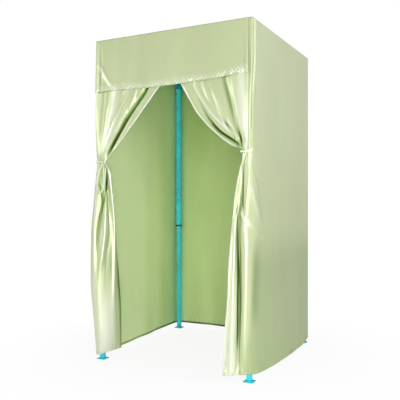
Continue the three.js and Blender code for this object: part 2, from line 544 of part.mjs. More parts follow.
function wallLeftSurface(across, down) {
  const levels = turnedLevels(levelsPlainShare);
  const level = levelDown(levels, down);
  const { height, inset } = overEdge(level);
  const tuck = Math.min(1, Math.max(0, (topMid - level) / (topMid - levels[2])));
  const [frontTop, frontLow] = [wallFrontTopShare * coverWidth, wallFrontShare * coverWidth];
  const front = frontTop + (frontLow - frontTop) * tuck + inset * (-frontTop - returnInner) / returnRun;
  const back = halfCover - inset * (halfCover - returnInner) / returnRun;
  const y = front + (back - front) * across;
  const lift = -leftFrontDrop * (1 - across) * Math.max(0, 1 - height / hemReach);
  const lean = smooth(leftLeanShare, y / coverWidth) * coverWidth * bellyShare(height);
  const near = Math.max(0, 1 - across / leftEdgeShare) ** 2;
  const fall = (1 - height / coverHeight) * Math.min(1, (1 - across) / waveEdgeShare);
  const wave = wallWave.depth * Math.sin(across * wallWave.leftCount * 2 * Math.PI) * fall;
  const plain = -clothMid + lean + wave;
  const x = plain * (1 - near) + smooth(leftFrontEdgeShare, height / coverHeight) * coverWidth * near;
  return new THREE.Vector3(x + inset, y, height + lift);
}

function wallRightSurface(across, down) {
  const levels = turnedLevels(levelsWallShare);
  const level = levelDown(levels, down);
  const { height, inset } = overEdge(level);
  const over = inset / returnRun;
  const [x, y] = planPoint(wallRightShares, across, height);
  return new THREE.Vector3(x + (halfCover - returnDepth - x) * over,
    y + (smooth(rightReturnShare, across) * coverWidth - y) * over,
    lifted(height, levels[levels.length - 1], hemAt(wallRightShares, across)));
}

function valanceSurface(across, down) {
  const share = Math.max(0, (down * valance.rows - 1) / (valance.rows - 1));
  const over = Math.max(0, 1 - down * valance.rows);
  const [left, right] = valanceEndsShare.map((end) => end * coverWidth
    + (Math.sign(end) * returnInner - end * coverWidth) * over);
  const x = left + (right - left) * across;
  const edge = smooth(valanceEdgeShare, x / coverWidth) * coverHeight;
  const height = topMid + (edge - topMid) * share;
  const ripple = valance.ripple * Math.sin(across * valance.ripples * 2 * Math.PI) * share ** 6;
  return new THREE.Vector3(x, -clothMid + returnRun * over - valance.stand * share ** 1.2 - ripple, height);
}

function roofTriangle() {
  const edge = halfCover - returnDepth - gap;
  return outlineAlongZ([[0, gap], [edge - gap, edge], [gap - edge, edge]], coverHeight - cloth, coverHeight);
}

// Ties
function strapBand(shares, height) {
  const points = shares.map((pair) => pair.map((share) => share * coverWidth));
  const half = strap.thick / 2;
  const sides = points.map(([x, y], i) => {
    const before = points[Math.max(i - 1, 0)];
    const after = points[Math.min(i + 1, points.length - 1)];
    const length = Math.hypot(after[0] - before[0], after[1] - before[1]);
    const across = [-(after[1] - before[1]) / length * half, (after[0] - before[0]) / length * half];
    return [[x + across[0], y + across[1]], [x - across[0], y - across[1]]];
  });
  const outline = [...sides.map((pair) => pair[0]), ...sides.map((pair) => pair[1]).reverse()];
  return outlineAlongZ(outline, height - strap.tall / 2, height + strap.tall / 2);
}

function strapKnot([xShare, yShare], height) {
  return new THREE.SphereGeometry(knot.radius, 10, 7).scale(knot.wideShare, knot.deepShare, knot.tallShare)
    .translate(xShare * coverWidth, yShare * coverWidth, height);
}

// A long loop, narrow at the top and fuller below
function loopOutline(wide, tall, drop) {
  const { points, waistShare, swellShare, fullShare } = hangingLoop;
  return Array.from({ length: points }, (_, i) => {
    const turn = i / points * 2 * Math.PI;
    const swell = waistShare + swellShare * (1 - Math.cos(turn));
    const across = Math.sin(turn) * wide / 2 * swell * fullShare;
    return new THREE.Vector2(across, -drop - tall * (1 - Math.cos(turn)) / 2);
  });
}

function tieLeft() {
  const height = tieLeftShare * coverHeight;
  const shape = new THREE.Shape(loopOutline(hangingLoop.wide, hangingLoop.tall, 0));
  const holeTall = hangingLoop.tall - hangingLoop.topBand - hangingLoop.lowBand;
  const hole = loopOutline(hangingLoop.holeWide, holeTall, hangingLoop.topBand);
  shape.holes.push(new THREE.Path(hole.reverse()));
  const [x, y] = hangingLoopShare.map((share) => share * coverWidth);
  const loop = new THREE.ExtrudeGeometry(shape, { depth: hangingLoop.thick, bevelEnabled: false })
    .rotateX(Math.PI / 2).rotateX(-hangingLoop.tilt).translate(x, y, height + hangingLoop.above);
  return join([strapBand(strapLeftShare, height), strapKnot(knotLeftShare, height), loop]);
}

function tieRight() {
  const height = tieRightShare * coverHeight;
  const { length, rootTall, tipTall, thick, above } = strapEnd;
  const [x, y] = strapEndShare.map((share) => share * coverWidth);
  const outline = [[0, -rootTall / 2], [length, -tipTall / 2], [length, tipTall / 2], [0, rootTall / 2]];
  const end = outlineAlongY(outline, 0, thick).translate(x, y, height + above);
  return join([strapBand(strapRightShare, height), strapKnot(knotRightShare, height), end]);
}

// The scene
const fittingRoom = new THREE.Group();
fittingRoom.name = 'fitting_room';

function add(parent, name, geometry, colour, roughness, metalness) {
  geometry.computeVertexNormals();
  const material = new THREE.MeshStandardMaterial({ color: colour, roughness, metalness, flatShading: true });
  const mesh = new THREE.Mesh(geometry, material);
  mesh.name = name;
  parent.add(mesh);
}

function addLeg(key, turns) {
  const leg = new THREE.Group();
  leg.position.set(-legAxis, legAxis, 0).applyAxisAngle(new THREE.Vector3(0, 0, 1), -turns * Math.PI / 2);
  leg.rotation.z = -turns * Math.PI / 2;
  add(leg, `leg_${key}_outer`, geometryOf(legOuter()), cyanHigh, 0.45, 0.3);
  add(leg, `leg_${key}_inner`, geometryOf(legInner()), cyanLow, 0.45, 0.3);
  add(leg, `leg_${key}_foot`, geometryOf(legFoot()), cyanLow, 0.5, 0.2);
  add(leg, `leg_${key}_bush`, geometryOf(legBush()), darkGrey, 0.6, 0);
  add(leg, `leg_${key}_bracket`, geometryOf(legBracket()), cyanHigh, 0.5, 0.1);
  add(leg, `leg_${key}_slider`, geometryOf(legSlider()), cyanHigh, 0.5, 0.1);
  add(leg, `leg_${key}_snap`, geometryOf(springClip(snapClip, snapHeight)), steelGrey, 0.35, 0.8);
  add(leg, `leg_${key}_catch`, geometryOf(springClip(catchClip, catchHeight)), steelGrey, 0.35, 0.8);
  fittingRoom.add(leg);
}

function addSide(key, turns, bars) {
  const side = new THREE.Group();
  side.position.set(-legAxis, legAxis, 0).applyAxisAngle(new THREE.Vector3(0, 0, 1), -turns * Math.PI / 2);
  side.rotation.z = -turns * Math.PI / 2;
  Object.entries(bars).forEach(([name, geometry]) => {
    add(side, `bar_${key}_${name}`, geometry.clone(), cyanHigh, 0.45, 0.3);
  });
  fittingRoom.add(side);
}

['bl', 'br', 'fr', 'fl'].forEach((key, turns) => addLeg(key, turns));
const bars = sideBars();
['back', 'right', 'front', 'left'].forEach((key, turns) => addSide(key, turns, bars));

['back', 'right', 'front', 'left'].forEach((key, turns) => {
  add(fittingRoom, `roof_${key}`, roofTriangle().rotateZ(-turns * Math.PI / 2), satin, 0.5, 0);
});
const wallColumns = 12;
const wideColumns = 24;
const foldColumns = 26;
const valanceColumns = 30;

function addCloth(name, columns, rows, surface, colour) {
  add(fittingRoom, name, sheet(columns, rows, surface), colour, 0.45, 0);
}

addCloth('wall_back', wallColumns, levelsPlainShare.length + 1, wallBackSurface, satinInside);
addCloth('wall_left', wallColumns, levelsPlainShare.length + 1, wallLeftSurface, satinInside);
addCloth('wall_right', wideColumns, levelsWallShare.length + 1, wallRightSurface, satin);
addCloth('valance', valanceColumns, valance.rows, valanceSurface, satin);
addCloth('curtain_left', foldColumns, levelsLeftShare.length - 1, pleated(curtainLeftShares,
  hungLevels(levelsLeftShare), foldsUpperLeftShare, depthUpperLeftShare, foldsLowerLeftShare,
  depthLowerLeftShare), satin);
addCloth('curtain_right', foldColumns, levelsRightShare.length - 1, pleated(curtainRightShares,
  hungLevels(levelsRightShare), foldsUpperRightShare, depthUpperRightShare, foldsLowerRightShare,
  depthLowerRightShare), satin);
add(fittingRoom, 'tie_left', geometryOf(tieLeft()), tieSatin, 0.4, 0);
add(fittingRoom, 'tie_right', geometryOf(tieRight()), tieSatin, 0.4, 0);

export default fittingRoom;
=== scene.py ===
import json
import math

import bpy
import numpy as np
from mathutils import Matrix, Vector


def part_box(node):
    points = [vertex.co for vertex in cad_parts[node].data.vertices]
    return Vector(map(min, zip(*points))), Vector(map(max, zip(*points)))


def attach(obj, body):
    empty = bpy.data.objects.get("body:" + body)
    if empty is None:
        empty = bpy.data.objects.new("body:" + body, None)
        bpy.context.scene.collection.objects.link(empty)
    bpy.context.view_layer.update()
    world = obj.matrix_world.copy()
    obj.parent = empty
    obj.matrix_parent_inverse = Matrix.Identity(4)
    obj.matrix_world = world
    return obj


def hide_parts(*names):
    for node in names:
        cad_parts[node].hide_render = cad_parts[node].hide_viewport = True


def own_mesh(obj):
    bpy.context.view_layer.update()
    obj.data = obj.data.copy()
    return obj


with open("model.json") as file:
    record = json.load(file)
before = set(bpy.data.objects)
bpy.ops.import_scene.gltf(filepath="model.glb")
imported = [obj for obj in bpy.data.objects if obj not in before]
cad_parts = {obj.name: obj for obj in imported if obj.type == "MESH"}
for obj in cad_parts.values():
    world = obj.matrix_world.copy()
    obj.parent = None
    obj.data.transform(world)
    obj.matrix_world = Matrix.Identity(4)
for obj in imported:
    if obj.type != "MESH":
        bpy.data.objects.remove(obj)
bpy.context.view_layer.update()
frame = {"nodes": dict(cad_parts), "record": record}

bl_info = {
    "name": "Portable Fitting Room",
    "version": (1, 0, 0),
    "blender": (4, 5, 0),
    "location": "View3D > Sidebar > Fitting Room",
    "description": "Dresses the folding frame of a fitting room in its satin cover and painted steel",
    "category": "Object",
}

LEGS = ("bl", "br", "fr", "fl")
SIDES = ("back", "right", "front", "left")
BARS = ("a1", "a2", "b1", "b2")
POSTS = {"bl": "post_back_left", "br": "post_back_right", "fr": "post_front_right", "fl": "post_front_left"}

# Sizes of the cover, in metres, and what the frame's own boxes say
COVER_WIDTH = 1.0
HALF = COVER_WIDTH / 2
COVER_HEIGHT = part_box("roof_back")[1][2]
CAD_CLOTH = COVER_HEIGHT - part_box("roof_back")[0][2]
CLOTH_MID = HALF - CAD_CLOTH / 2
TOP_MID = COVER_HEIGHT - CAD_CLOTH / 2
RETURN_DEPTH = 0.045
RETURN_RUN = CLOTH_MID - (HALF - RETURN_DEPTH)
RETURN_INNER = HALF - RETURN_DEPTH - 0.0006
# The strips of the side walls lie this much lower, so that they pass under the others as the cover folds
STRIP_DROP = 0.0007
# Height over which the hem's own line is felt, and the seam's distance from the edge and its stitches
HEM_REACH = 0.45
SEAM_INSET = 0.012
STITCH_PITCH = 0.0034

# Ways of folding handed to each cloth: for each the axis along which it would be squeezed and the point that
# would stay. Nothing in this script squeezes a cloth.
TO_LEFT = ((1, 0, 0), (-HALF, 0, 0))
TO_RIGHT = ((1, 0, 0), (HALF, 0, 0))
TO_BACK = ((0, 1, 0), (0, HALF, 0))

# The camera, fitted to the photograph: place, heading left of +Y, focal length and shift in pixels
CAMERA_AT = (1.6044, -3.2705, 0.9505)
CAMERA_YAW = math.radians(27.990)
PHOTO_SIZE = 400
FOCAL_PX = 573.64
SHIFT_PX = -10.51
SENSOR_MM = 36.0


def shares(text):
    """Rows of numbers from plain lines of text."""
    return [[float(word) for word in line.split()] for line in text.strip().splitlines()]


def fold_table(text):
    """Folds from plain text: two half widths, a colon and the fold's points, then a semicolon."""
    folds = []
    for entry in text.split(";")[:-1]:
        widths, line = entry.split(":")
        folds.append((shares(widths)[0], [shares(point)[0] for point in line.split(",")]))
    return folds


# Plan tables of the cloths. Each row is a share of the cover's height, then x and y pairs as
# shares of its width, from the first track across the cloth to the last one.
CURTAIN_LEFT = {
    "at": (0, 0.08, 0.37, 0.68, 1),
    "rows": shares("""
        .993 -.4993 -.4846 -.497 -.4972 -.33 -.4974 -.16 -.4974 .0142 -.4974
        .937 -.4992 -.4846 -.498 -.4973 -.331 -.4978 -.16 -.4978 .0142 -.4978
        .895 -.499 -.4846 -.499 -.498 -.333 -.4995 -.16 -.4995 .0142 -.4995
        .868 -.499 -.4846 -.5005 -.498 -.337 -.501 -.168 -.501 .012 -.501
        .842 -.499 -.4846 -.501 -.499 -.346 -.503 -.198 -.503 -.045 -.503
        .805 -.4987 -.4846 -.502 -.501 -.366 -.506 -.233 -.506 -.107 -.505
        .774 -.4985 -.4846 -.502 -.503 -.386 -.509 -.268 -.509 -.157 -.507
        .729 -.497 -.4846 -.5015 -.503 -.414 -.511 -.318 -.511 -.23 -.508
        .679 -.495 -.4846 -.498 -.502 -.443 -.511 -.38 -.51 -.321 -.506
        .643 -.493 -.4846 -.494 -.5 -.466 -.51 -.428 -.509 -.388 -.505
        .626 -.4926 -.4846 -.4915 -.499 -.474 -.507 -.45 -.506 -.4235 -.502
        .618 -.4925 -.4846 -.491 -.499 -.476 -.507 -.453 -.506 -.4315 -.502
        .607 -.4926 -.4846 -.492 -.499 -.475 -.507 -.447 -.505 -.4175 -.501
        .579 -.493 -.4846 -.497 -.501 -.475 -.51 -.44 -.502 -.401 -.491
        .5 -.498 -.4846 -.51 -.508 -.48 -.517 -.441 -.498 -.402 -.465
        .421 -.499 -.4846 -.517 -.52 -.483 -.525 -.438 -.497 -.402 -.443
        .337 -.4993 -.4846 -.52 -.529 -.484 -.529 -.437 -.497 -.401 -.425
        .253 -.4993 -.4846 -.517 -.531 -.482 -.53 -.436 -.495 -.396 -.412
        .158 -.499 -.4846 -.511 -.52 -.479 -.523 -.435 -.491 -.389 -.403
        .079 -.498 -.4846 -.502 -.509 -.476 -.515 -.436 -.488 -.39 -.397
        .018 -.497 -.4846 -.497 -.502 -.472 -.51 -.44 -.487 -.396 -.39
    """),
    "hem": (0.0142, 0.0147, 0.0163, 0.0221, 0.0289),
}
CURTAIN_RIGHT = {
    "at": (0, 0.25, 0.5, 0.75, 1),
    "rows": shares("""
        .993 .482 -.4974 .372 -.4974 .25 -.4974 .133 -.4974 .0152 -.4974
        .937 .4815 -.4972 .373 -.4978 .253 -.4978 .137 -.4978 .016 -.4978
        .911 .4813 -.497 .374 -.499 .256 -.499 .14 -.499 .018 -.499
        .884 .481 -.497 .376 -.5005 .262 -.5005 .148 -.5005 .034 -.5005
        .842 .4805 -.4973 .38 -.503 .274 -.504 .171 -.504 .073 -.503
        .789 .4803 -.498 .387 -.507 .302 -.508 .214 -.508 .133 -.507
        .752 .48 -.4982 .394 -.509 .325 -.51 .248 -.51 .178 -.509
        .721 .4795 -.4984 .404 -.51 .346 -.511 .286 -.511 .227 -.509
        .691 .4785 -.4986 .417 -.51 .374 -.511 .329 -.511 .286 -.508
        .664 .477 -.4983 .434 -.509 .405 -.51 .377 -.509 .351 -.506
        .647 .4745 -.4983 .451 -.506 .435 -.508 .418 -.5075 .404 -.5045
        .642 .474 -.498 .459 -.503 .45 -.506 .444 -.5065 .441 -.5035
        .636 .4725 -.498 .461 -.503 .453 -.5055 .448 -.506 .445 -.503
        .628 .469 -.498 .459 -.5035 .453 -.506 .448 -.5065 .446 -.5035
        .616 .4605 -.498 .456 -.506 .453 -.508 .45 -.507 .447 -.503
        .577 .4462 -.499 .441 -.509 .437 -.512 .432 -.512 .4285 -.508
        .5 .4358 -.496 .429 -.514 .421 -.518 .413 -.519 .4065 -.5145
        .458 .4318 -.494 .424 -.517 .415 -.522 .406 -.522 .3985 -.518
        .416 .4223 -.494 .416 -.519 .408 -.525 .399 -.525 .391 -.522
        .362 .4238 -.494 .415 -.522 .406 -.528 .396 -.53 .388 -.526
        .307 .428 -.494 .415 -.524 .402 -.531 .391 -.532 .381 -.529
        .225 .431 -.494 .415 -.527 .4 -.534 .385 -.536 .372 -.534
        .101 .428 -.496 .41 -.53 .392 -.537 .373 -.539 .357 -.538
        .017 .428 -.513 .408 -.528 .387 -.531 .364 -.538 .345 -.54
    """),
    "hem": (0.0221, 0.0205, 0.0189, 0.0174, 0.0168),
}
WALL_RIGHT = {
    "at": (0, 0.06, 0.13, 0.22, 0.32, 0.46, 0.64, 0.82, 1),
    "rows": shares("""
        1 .4793 -.4993 .49 -.4993 .4991 -.491 .4993 -.465 .4993 -.41 .4993 -.26 .4993 0 .4993 .25 .4993 .5
        .842 .4785 -.5005 .49 -.5005 .4995 -.491 .4993 -.465 .4993 -.41 .4993 -.26 .4993 0 .4993 .25 .4993 .5
        .752 .478 -.5015 .489 -.5015 .4995 -.491 .4993 -.465 .4993 -.41 .4993 -.26 .4993 0 .4993 .25 .4993 .5
        .684 .476 -.5025 .487 -.5025 .498 -.492 .4993 -.466 .4993 -.41 .4993 -.26 .4993 0 .4993 .25 .4993 .5
        .645 .472 -.503 .482 -.503 .495 -.493 .499 -.467 .4993 -.41 .4995 -.26 .4993 0 .4993 .25 .4993 .5
        .636 .47 -.5035 .48 -.503 .494 -.494 .499 -.468 .4994 -.412 .4995 -.26 .4993 0 .4993 .25 .4993 .5
        .616 .463 -.5025 .473 -.5045 .491 -.499 .499 -.472 .5 -.415 .5 -.26 .4995 0 .4993 .25 .4993 .5
        .579 .4507 -.501 .461 -.506 .484 -.503 .497 -.478 .5015 -.425 .5005 -.26 .5 0 .4995 .25 .4993 .5
        .5 .439 -.497 .447 -.507 .47 -.511 .494 -.487 .504 -.43 .502 -.26 .502 0 .501 .25 .4993 .5
        .458 .435 -.495 .443 -.508 .466 -.513 .492 -.49 .506 -.432 .5035 -.26 .5035 0 .5025 .25 .4993 .5
        .416 .4255 -.495 .435 -.509 .459 -.517 .489 -.495 .506 -.434 .506 -.26 .505 0 .504 .25 .4993 .5
        .316 .431 -.495 .44 -.51 .46 -.518 .489 -.497 .508 -.434 .511 -.26 .511 0 .509 .25 .4993 .5
        .226 .434 -.495 .442 -.51 .461 -.518 .489 -.499 .509 -.435 .516 -.26 .517 0 .514 .25 .4994 .5
        .105 .431 -.497 .44 -.511 .459 -.518 .489 -.501 .511 -.44 .521 -.258 .524 0 .521 .25 .4994 .5
        .018 .431 -.514 .442 -.52 .46 -.516 .487 -.501 .513 -.449 .525 -.27 .53 0 .528 .24 .4994 .5
    """),
    "hem": (0.0221, 0.0226, 0.0237, 0.0242, 0.0226, 0.0195, 0.0163, 0.0158, 0.0158),
}
# Where the strip of the right wall that is turned over the roof's edge ends: share across, then y
RIGHT_RETURN = [(0, -0.4547), (0.06, -0.451), (0.13, -0.446), (0.22, -0.436), (0.32, -0.4), (0.46, -0.255),
                (0.64, 0), (0.82, 0.23), (1, 0.454)]
# The left wall's lean and its front edge, and the valance's lower edge and ends
LEFT_LEAN = [(-0.4843, 0.012), (-0.29, 0.017), (-0.1, 0.009), (0.1, 0.002), (0.33, -0.008), (0.45, -0.006),
             (0.5, 0)]
LEFT_FRONT_EDGE = [(1, -0.4993), (0.774, -0.4985), (0.679, -0.495), (0.617, -0.4925), (0.579, -0.493),
                   (0.5, -0.498), (0.337, -0.4993), (0.158, -0.499), (0.079, -0.498), (0.014, -0.497)]
LEFT_FRONT = -0.4843
LEFT_FRONT_TOP = -0.498
LEFT_FRONT_DROP = 0.006
WALL_HEM = 0.033
BELLY = {"back": 0.022, "top": 0.636, "power": 1.2}
VALANCE_EDGE = [(-0.4995, 0.8358), (-0.47, 0.8379), (-0.33, 0.8379), (-0.12, 0.8358), (0.098, 0.8374),
                (0.316, 0.8432), (0.4785, 0.8489)]
VALANCE_ENDS = (-0.4995, 0.4785)
VALANCE_STAND = 0.012
VALANCE_SWELL = 1.2

# Folds, each drawn in the photograph's pixels: half widths to its left and right, then points
# of column, row and height in millimetres, a ridge above nought and a valley below it
FOLDS_LEFT = fold_table("""
    1.4 1: 105 50 0, 104.6 93.3 -3, 102.5 118 -3, 100 143 -1;
    0.8 0.8: 107 50 0, 106.6 93.3 2, 104 120 2.5, 101.2 143 1;
    3.8 3.4: 119 50 1, 116.5 93 8, 110.2 125 9, 106.5 140 7, 102.4 155 3;
    2 2: 124 60 0, 122 95 -4, 112.5 125 -4, 105.2 150 -1;
    1.9 1.8: 131 60 1, 127.5 93 5, 121 107 6, 115 122 7, 108.6 141 6, 104.2 154 2;
    0.9 0.9: 138 60 0, 134 91 -5, 123 122.8 -6, 109.4 149 -2;
    2 1.5: 141 60 1, 136.2 91 7, 123 119.7 8, 109.6 146.8 6, 105 157 3;
    1.8 2.2: 153 60 0, 145.4 89 -13, 134.4 106 -14, 126.2 119 -16, 115.6 138 -16, 107 154.7 -8;
    1 1: 160 84 2, 156.4 89.4 4, 140.2 113.3 5, 127.4 132.4 5, 114.7 150.8 4, 105.4 158.7 1;
    1.8 1.6: 99 168 2, 96.8 190 5, 96 206 7, 94.8 230 8, 94 260 7, 94.5 285 2, 95 300 0;
    1.6 2: 101 176 -1, 103 200 -10, 99.5 222 -9, 98 233 -8, 96.5 258 -3, 97 300 0;
    1.8 2: 104 182 1, 105.5 200 6, 105 227 9, 102 256 7, 99.5 272 2, 98 285 0;
    1.6 2.2: 107 180 -3, 108 200 -8, 109.6 233 -6, 106.5 258 -4, 106 285 -1, 106 310 0;
    0.8 0.9: 106 167 -2, 106.7 176 -9, 106.2 186 -11, 104.6 197 -8, 103.4 206 0;
    1.4 1.6: 106.2 165 2, 109 173 5, 111 187 7, 112.4 200 8, 114.2 230 9, 114 260 8, 113.4 290 4,
        113.2 305 1;
    4 2.6: 114 265 0, 113.4 290 5, 113.8 320 5, 115 345 2;
""")
FOLDS_RIGHT = fold_table("""
    0.9 0.9: 185.5 88 3, 191.5 101 4, 200.8 119 4, 213 132.6 4, 229 145 3, 241 151 1;
    1.5 1.5: 189 50 0, 192 86 -4, 198 98 -5, 206 114.5 -9, 217.6 129.5 -14, 231 139.5 -12, 242 148 -3;
    1.5 2.2: 190 50 1, 195 86 8, 199.5 96 9, 207.5 108 8, 213.5 116 9, 226 128 9, 236 136 7, 241.5 142 4;
    2 2.2: 200 70 0, 204.6 86 5, 207.8 95 7, 214 106 5, 221 116 3, 230 127 0;
    0.9 0.9: 221 117 0, 228 125 -5, 234 131 -2;
    1.2 1.3: 226 117 0, 231.6 125 5, 237 136 5, 240 142 2;
    2.5 3: 203 50 0, 206 85 -3, 214 104 -4, 229 127 -4, 240 141 -1;
    2.4 2.4: 210 50 0, 213 85 1, 219.5 108 6, 226 123 4, 236 137 1;
    4 3.2: 221 50 -2, 224.6 80 -7, 229.8 101 -8, 235.2 124 -7, 240.4 139 -12, 242 145 -3;
    2.2 2.2: 232 50 0, 233 78 3, 237 110 4, 242 143 1;
    5 5: 240 50 2, 240.5 78 8, 243 115 9, 246 145 2;
    1.2 1.2: 242.6 158 1, 239 180 5, 235.6 200 5, 232.6 230 6, 229.8 260 6, 228.4 300 6, 225.4 340 5,
        223 375 3;
    0.9 0.9: 240 175 -6, 238 200 0, 233.2 230 0, 231.9 260 -2, 230.6 300 -3, 228 340 -3, 226.4 367 -2;
    1.2 1.4: 244.5 160 1, 241.6 180 5, 239.6 200 5, 234.6 230 8, 233.8 260 8, 232.4 300 7, 231.2 340 6,
        229.8 375 6;
    1.1 1.1: 243.6 165 -2, 243 180 -5, 242 200 -6, 238.6 230 -5, 238.8 260 -6, 238.4 300 -5, 238 340 -3,
        237.6 354 0;
""")
FOLDS_SIDE = fold_table("""
    0.7 0.8: 251.6 18 4, 251.5 60 4, 250.2 90 5, 249.4 120 5, 249.6 146 2;
    0.8 0.9: 253.6 18 -1, 253.6 60 -2, 252.3 90 -4, 251.6 120 -4, 251.4 146 -1;
    0.7 0.8: 255.2 18 3, 255.2 60 3, 254 90 2, 253.8 130 0;
    1.1 1.1: 243.6 165 -2, 243 180 -5, 242 200 -6, 238.6 230 -5, 238.8 260 -6, 238.4 300 -5, 238 340 -3,
        237.6 354 0;
    1.6 1.6: 242 168 2, 239.3 190 6, 240 206 7, 243.6 216 6, 248 223.5 5, 254 230.5 4, 261 236.5 2,
        264 240 0;
    2.4 2: 248 156 1, 250.6 180 2, 254 200 5, 258.5 218 5, 262 232 2;
    1.2 1.6: 252 160 0, 257.5 180 -4, 261 200 -4, 263 225 -2, 264 236 0;
    3.2 4: 242 210 1, 244.6 222 6, 246.4 254 8, 246 287 8, 244 327 7, 241.6 352 4, 240 375 2;
    4 4: 256 238 0, 256 262 -2, 255 300 -2, 255 330 0;
""")
FOLDS_VALANCE = fold_table("""
    0.7 0.8: 99.6 42 1, 99.3 66 2, 98.9 91 3;
    0.9 1.2: 101.2 44 0, 100.6 66 -3, 100 91 -4;
    1.7 1.7: 98.5 62 0, 102 70 4, 106 77.5 5, 110.5 84.5 3, 113 88 0;
    0.7 0.7: 242.7 40 0, 242.7 57 2, 242.3 73 3;
    0.8 0.8: 246.3 20 1, 246.2 45 2, 246 73 3;
    1.5 1.5: 244.5 28 0, 244.5 50 -2, 244.2 73 -3;
    4 4: 232 60 0, 237 68 2, 242 73 3;
""")

# Painted light and shade beyond what the cloth's own folds give, as the painted shade in the tight gap
# between two of
# them: drawn the same way, with a share of painted lightness, dark below nought, in place of each height
SHADES_LEFT = fold_table("""
    0.9 0.9: 100 176 -0.5, 99.8 185 -1.1, 101.5 195 -0.4, 103 200 -0.5, 101.5 210 -0.4, 99.6 215 -0.35,
        97.6 230 -0.2, 96.4 245 -0.4, 96 258 0;
    0.8 0.8: 106.5 168 -0.5, 106 185 -0.6, 107 196 -0.35, 108 206 -0.2, 108.6 225 0;
    2.4 2.4: 116.5 225 0, 117.6 245 -0.6, 118.4 260 -0.9, 119 280 -1, 120.2 300 -0.85, 121 320 -0.8,
        121.6 345 -0.7, 122 360 -0.6;
    9 7: 104 270 0, 105 292 0.3, 106 315 0.6, 107 350 0.75, 107 372 0.7;
    3 3: 94 265 0, 94.5 290 0.35, 95.5 320 0.35, 97 350 0.3;
    2.4 2: 146 88 -0.3, 137 102 -0.1, 128.5 115 0, 120 130 0.1;
    1.2 1.2: 138.8 100 0, 128.8 115 -0.05, 121 130 -0.6, 112.4 145 -0.8, 107.6 153 -0.4;
""")
SHADES_GAP = fold_table("""
    0.8 0.9: 242 165 -0.4, 243.2 180 -0.7, 243 200 -1.2, 244 210 -0.6, 245 218 0;
    0.8 0.9: 237.2 198 -0.2, 237 215 -1, 238 230 -1.2, 238.8 260 -1.7, 238.3 300 -1.3, 238 335 -1,
        237.8 354 0;
    0.8 1.5: 239.2 238 0, 239.6 262 -0.9, 239.8 300 -1.3, 239.4 330 -1, 239 352 0;
""")
SHADES_RIGHT = SHADES_GAP + fold_table("""
    0.9 0.9: 236.5 118 -0.2, 239 130 -0.5, 240.6 138 -1.4, 242 146 -1;
    1 1: 212.6 125 -0.3, 221 132 -0.5, 230.6 138 -0.8, 238 143 -0.5;
    0.9 0.9: 219.5 112 0, 225 125 0.7, 232 133 0.3;
    2.6 2.2: 223 78 -0.1, 228.6 101 -0.12, 234.6 124 0, 239.5 138 0;
    0.9 0.9: 220 110 0, 227 125 -0.8, 234.5 136 -0.6;
    1 1: 224 108 0, 230.6 125 0.8, 236 135 0.5;
    9 9: 232 240 0, 231 275 0.35, 229 330 0.55, 227 378 0.6;
""")


def within(value):
    """The value, held between nought and one."""
    return np.clip(value, 0, 1)


def bell(value, centre, width):
    """A smooth hump, one at its centre and near nought from twice its width."""
    return np.exp(-((value - centre) / width) ** 2)


def smooth(rows, at, column=1):
    """A curve through a table's rows that never swings past them."""
    table = np.asarray(rows, float)
    if table[0, 0] > table[-1, 0]:
        table = table[::-1]
    x, y = table[:, 0], table[:, column]
    secant = np.diff(y) / np.diff(x)
    before, after = secant[:-1], secant[1:]
    alike = before * after > 0
    inner = np.where(alike, 2 * before * after / np.where(alike, before + after, 1), 0)
    slope = np.concatenate([secant[:1], inner, secant[-1:]])
    at = np.asarray(at, float)
    i = np.clip(np.searchsorted(x, at) - 1, 0, len(x) - 2)
    width = x[i + 1] - x[i]
    t = within((at - x[i]) / width)
    return (y[i] * (1 + 2 * t) * (1 - t) ** 2 + slope[i] * width * t * (1 - t) ** 2
            + y[i + 1] * t * t * (3 - 2 * t) + slope[i + 1] * width * t * t * (t - 1))


def plan_points(tracks, across, levels):
    """Plan places of a cloth: one row of points for each level, one column for each share across."""
    height = np.asarray(levels) / COVER_HEIGHT
    places = []
    for first in (1, 2):
        columns = range(first, first + 2 * len(tracks["at"]), 2)
        controls = np.stack([smooth(tracks["rows"], height, column) for column in columns], 1)
        rows = [smooth(np.column_stack([tracks["at"], row]), across) for row in controls]
        places.append(np.stack(rows) * COVER_WIDTH)
    return places


def photo_place(points):
    """Column and row in the photograph of each point."""
    ahead = np.array([-math.sin(CAMERA_YAW), math.cos(CAMERA_YAW), 0])
    right = np.array([math.cos(CAMERA_YAW), math.sin(CAMERA_YAW), 0])
    offset = points - np.array(CAMERA_AT)
    depth = offset @ ahead
    middle = PHOTO_SIZE / 2
    return (middle + SHIFT_PX + FOCAL_PX * (offset @ right) / depth,
            middle - FOCAL_PX * offset[..., 2] / depth)


def creased(points, folds):
    """Height of the folds at each point, in metres."""
    column, row = photo_place(points)
    total = np.zeros(column.shape)
    for (left, right), line in folds:
        line = np.asarray(line, float)
        heights = smooth(line[:, (1, 2)], row)
        ends = within(1 - np.maximum(line[0, 1] - row, row - line[-1, 1]) / 8)
        centre = smooth(line[:, (1, 0)], row)
        slant = (smooth(line[:, (1, 0)], row + 1) - smooth(line[:, (1, 0)], row - 1)) / 2
        offset = (column - centre) / np.sqrt(1 + slant * slant)
        half = np.where(offset < 0, left, right)
        total += heights * ends * bell(offset, 0, half)
    return total / 1000


def ripple(x, z, seed, length, count=6):
    """Soft undulation between about -1 and 1: a few waves of fixed phase."""
    draw = np.random.default_rng(seed)
    total = 0
    for _ in range(count):
        turn, phase = draw.uniform(0, math.pi), draw.uniform(0, 2 * math.pi)
        pitch = length * draw.uniform(0.7, 1.5)
        along = x * math.cos(turn) * 1.6 + z * math.sin(turn) * 0.5
        total = total + np.sin(2 * math.pi * along / pitch + phase)
    return total / math.sqrt(count)


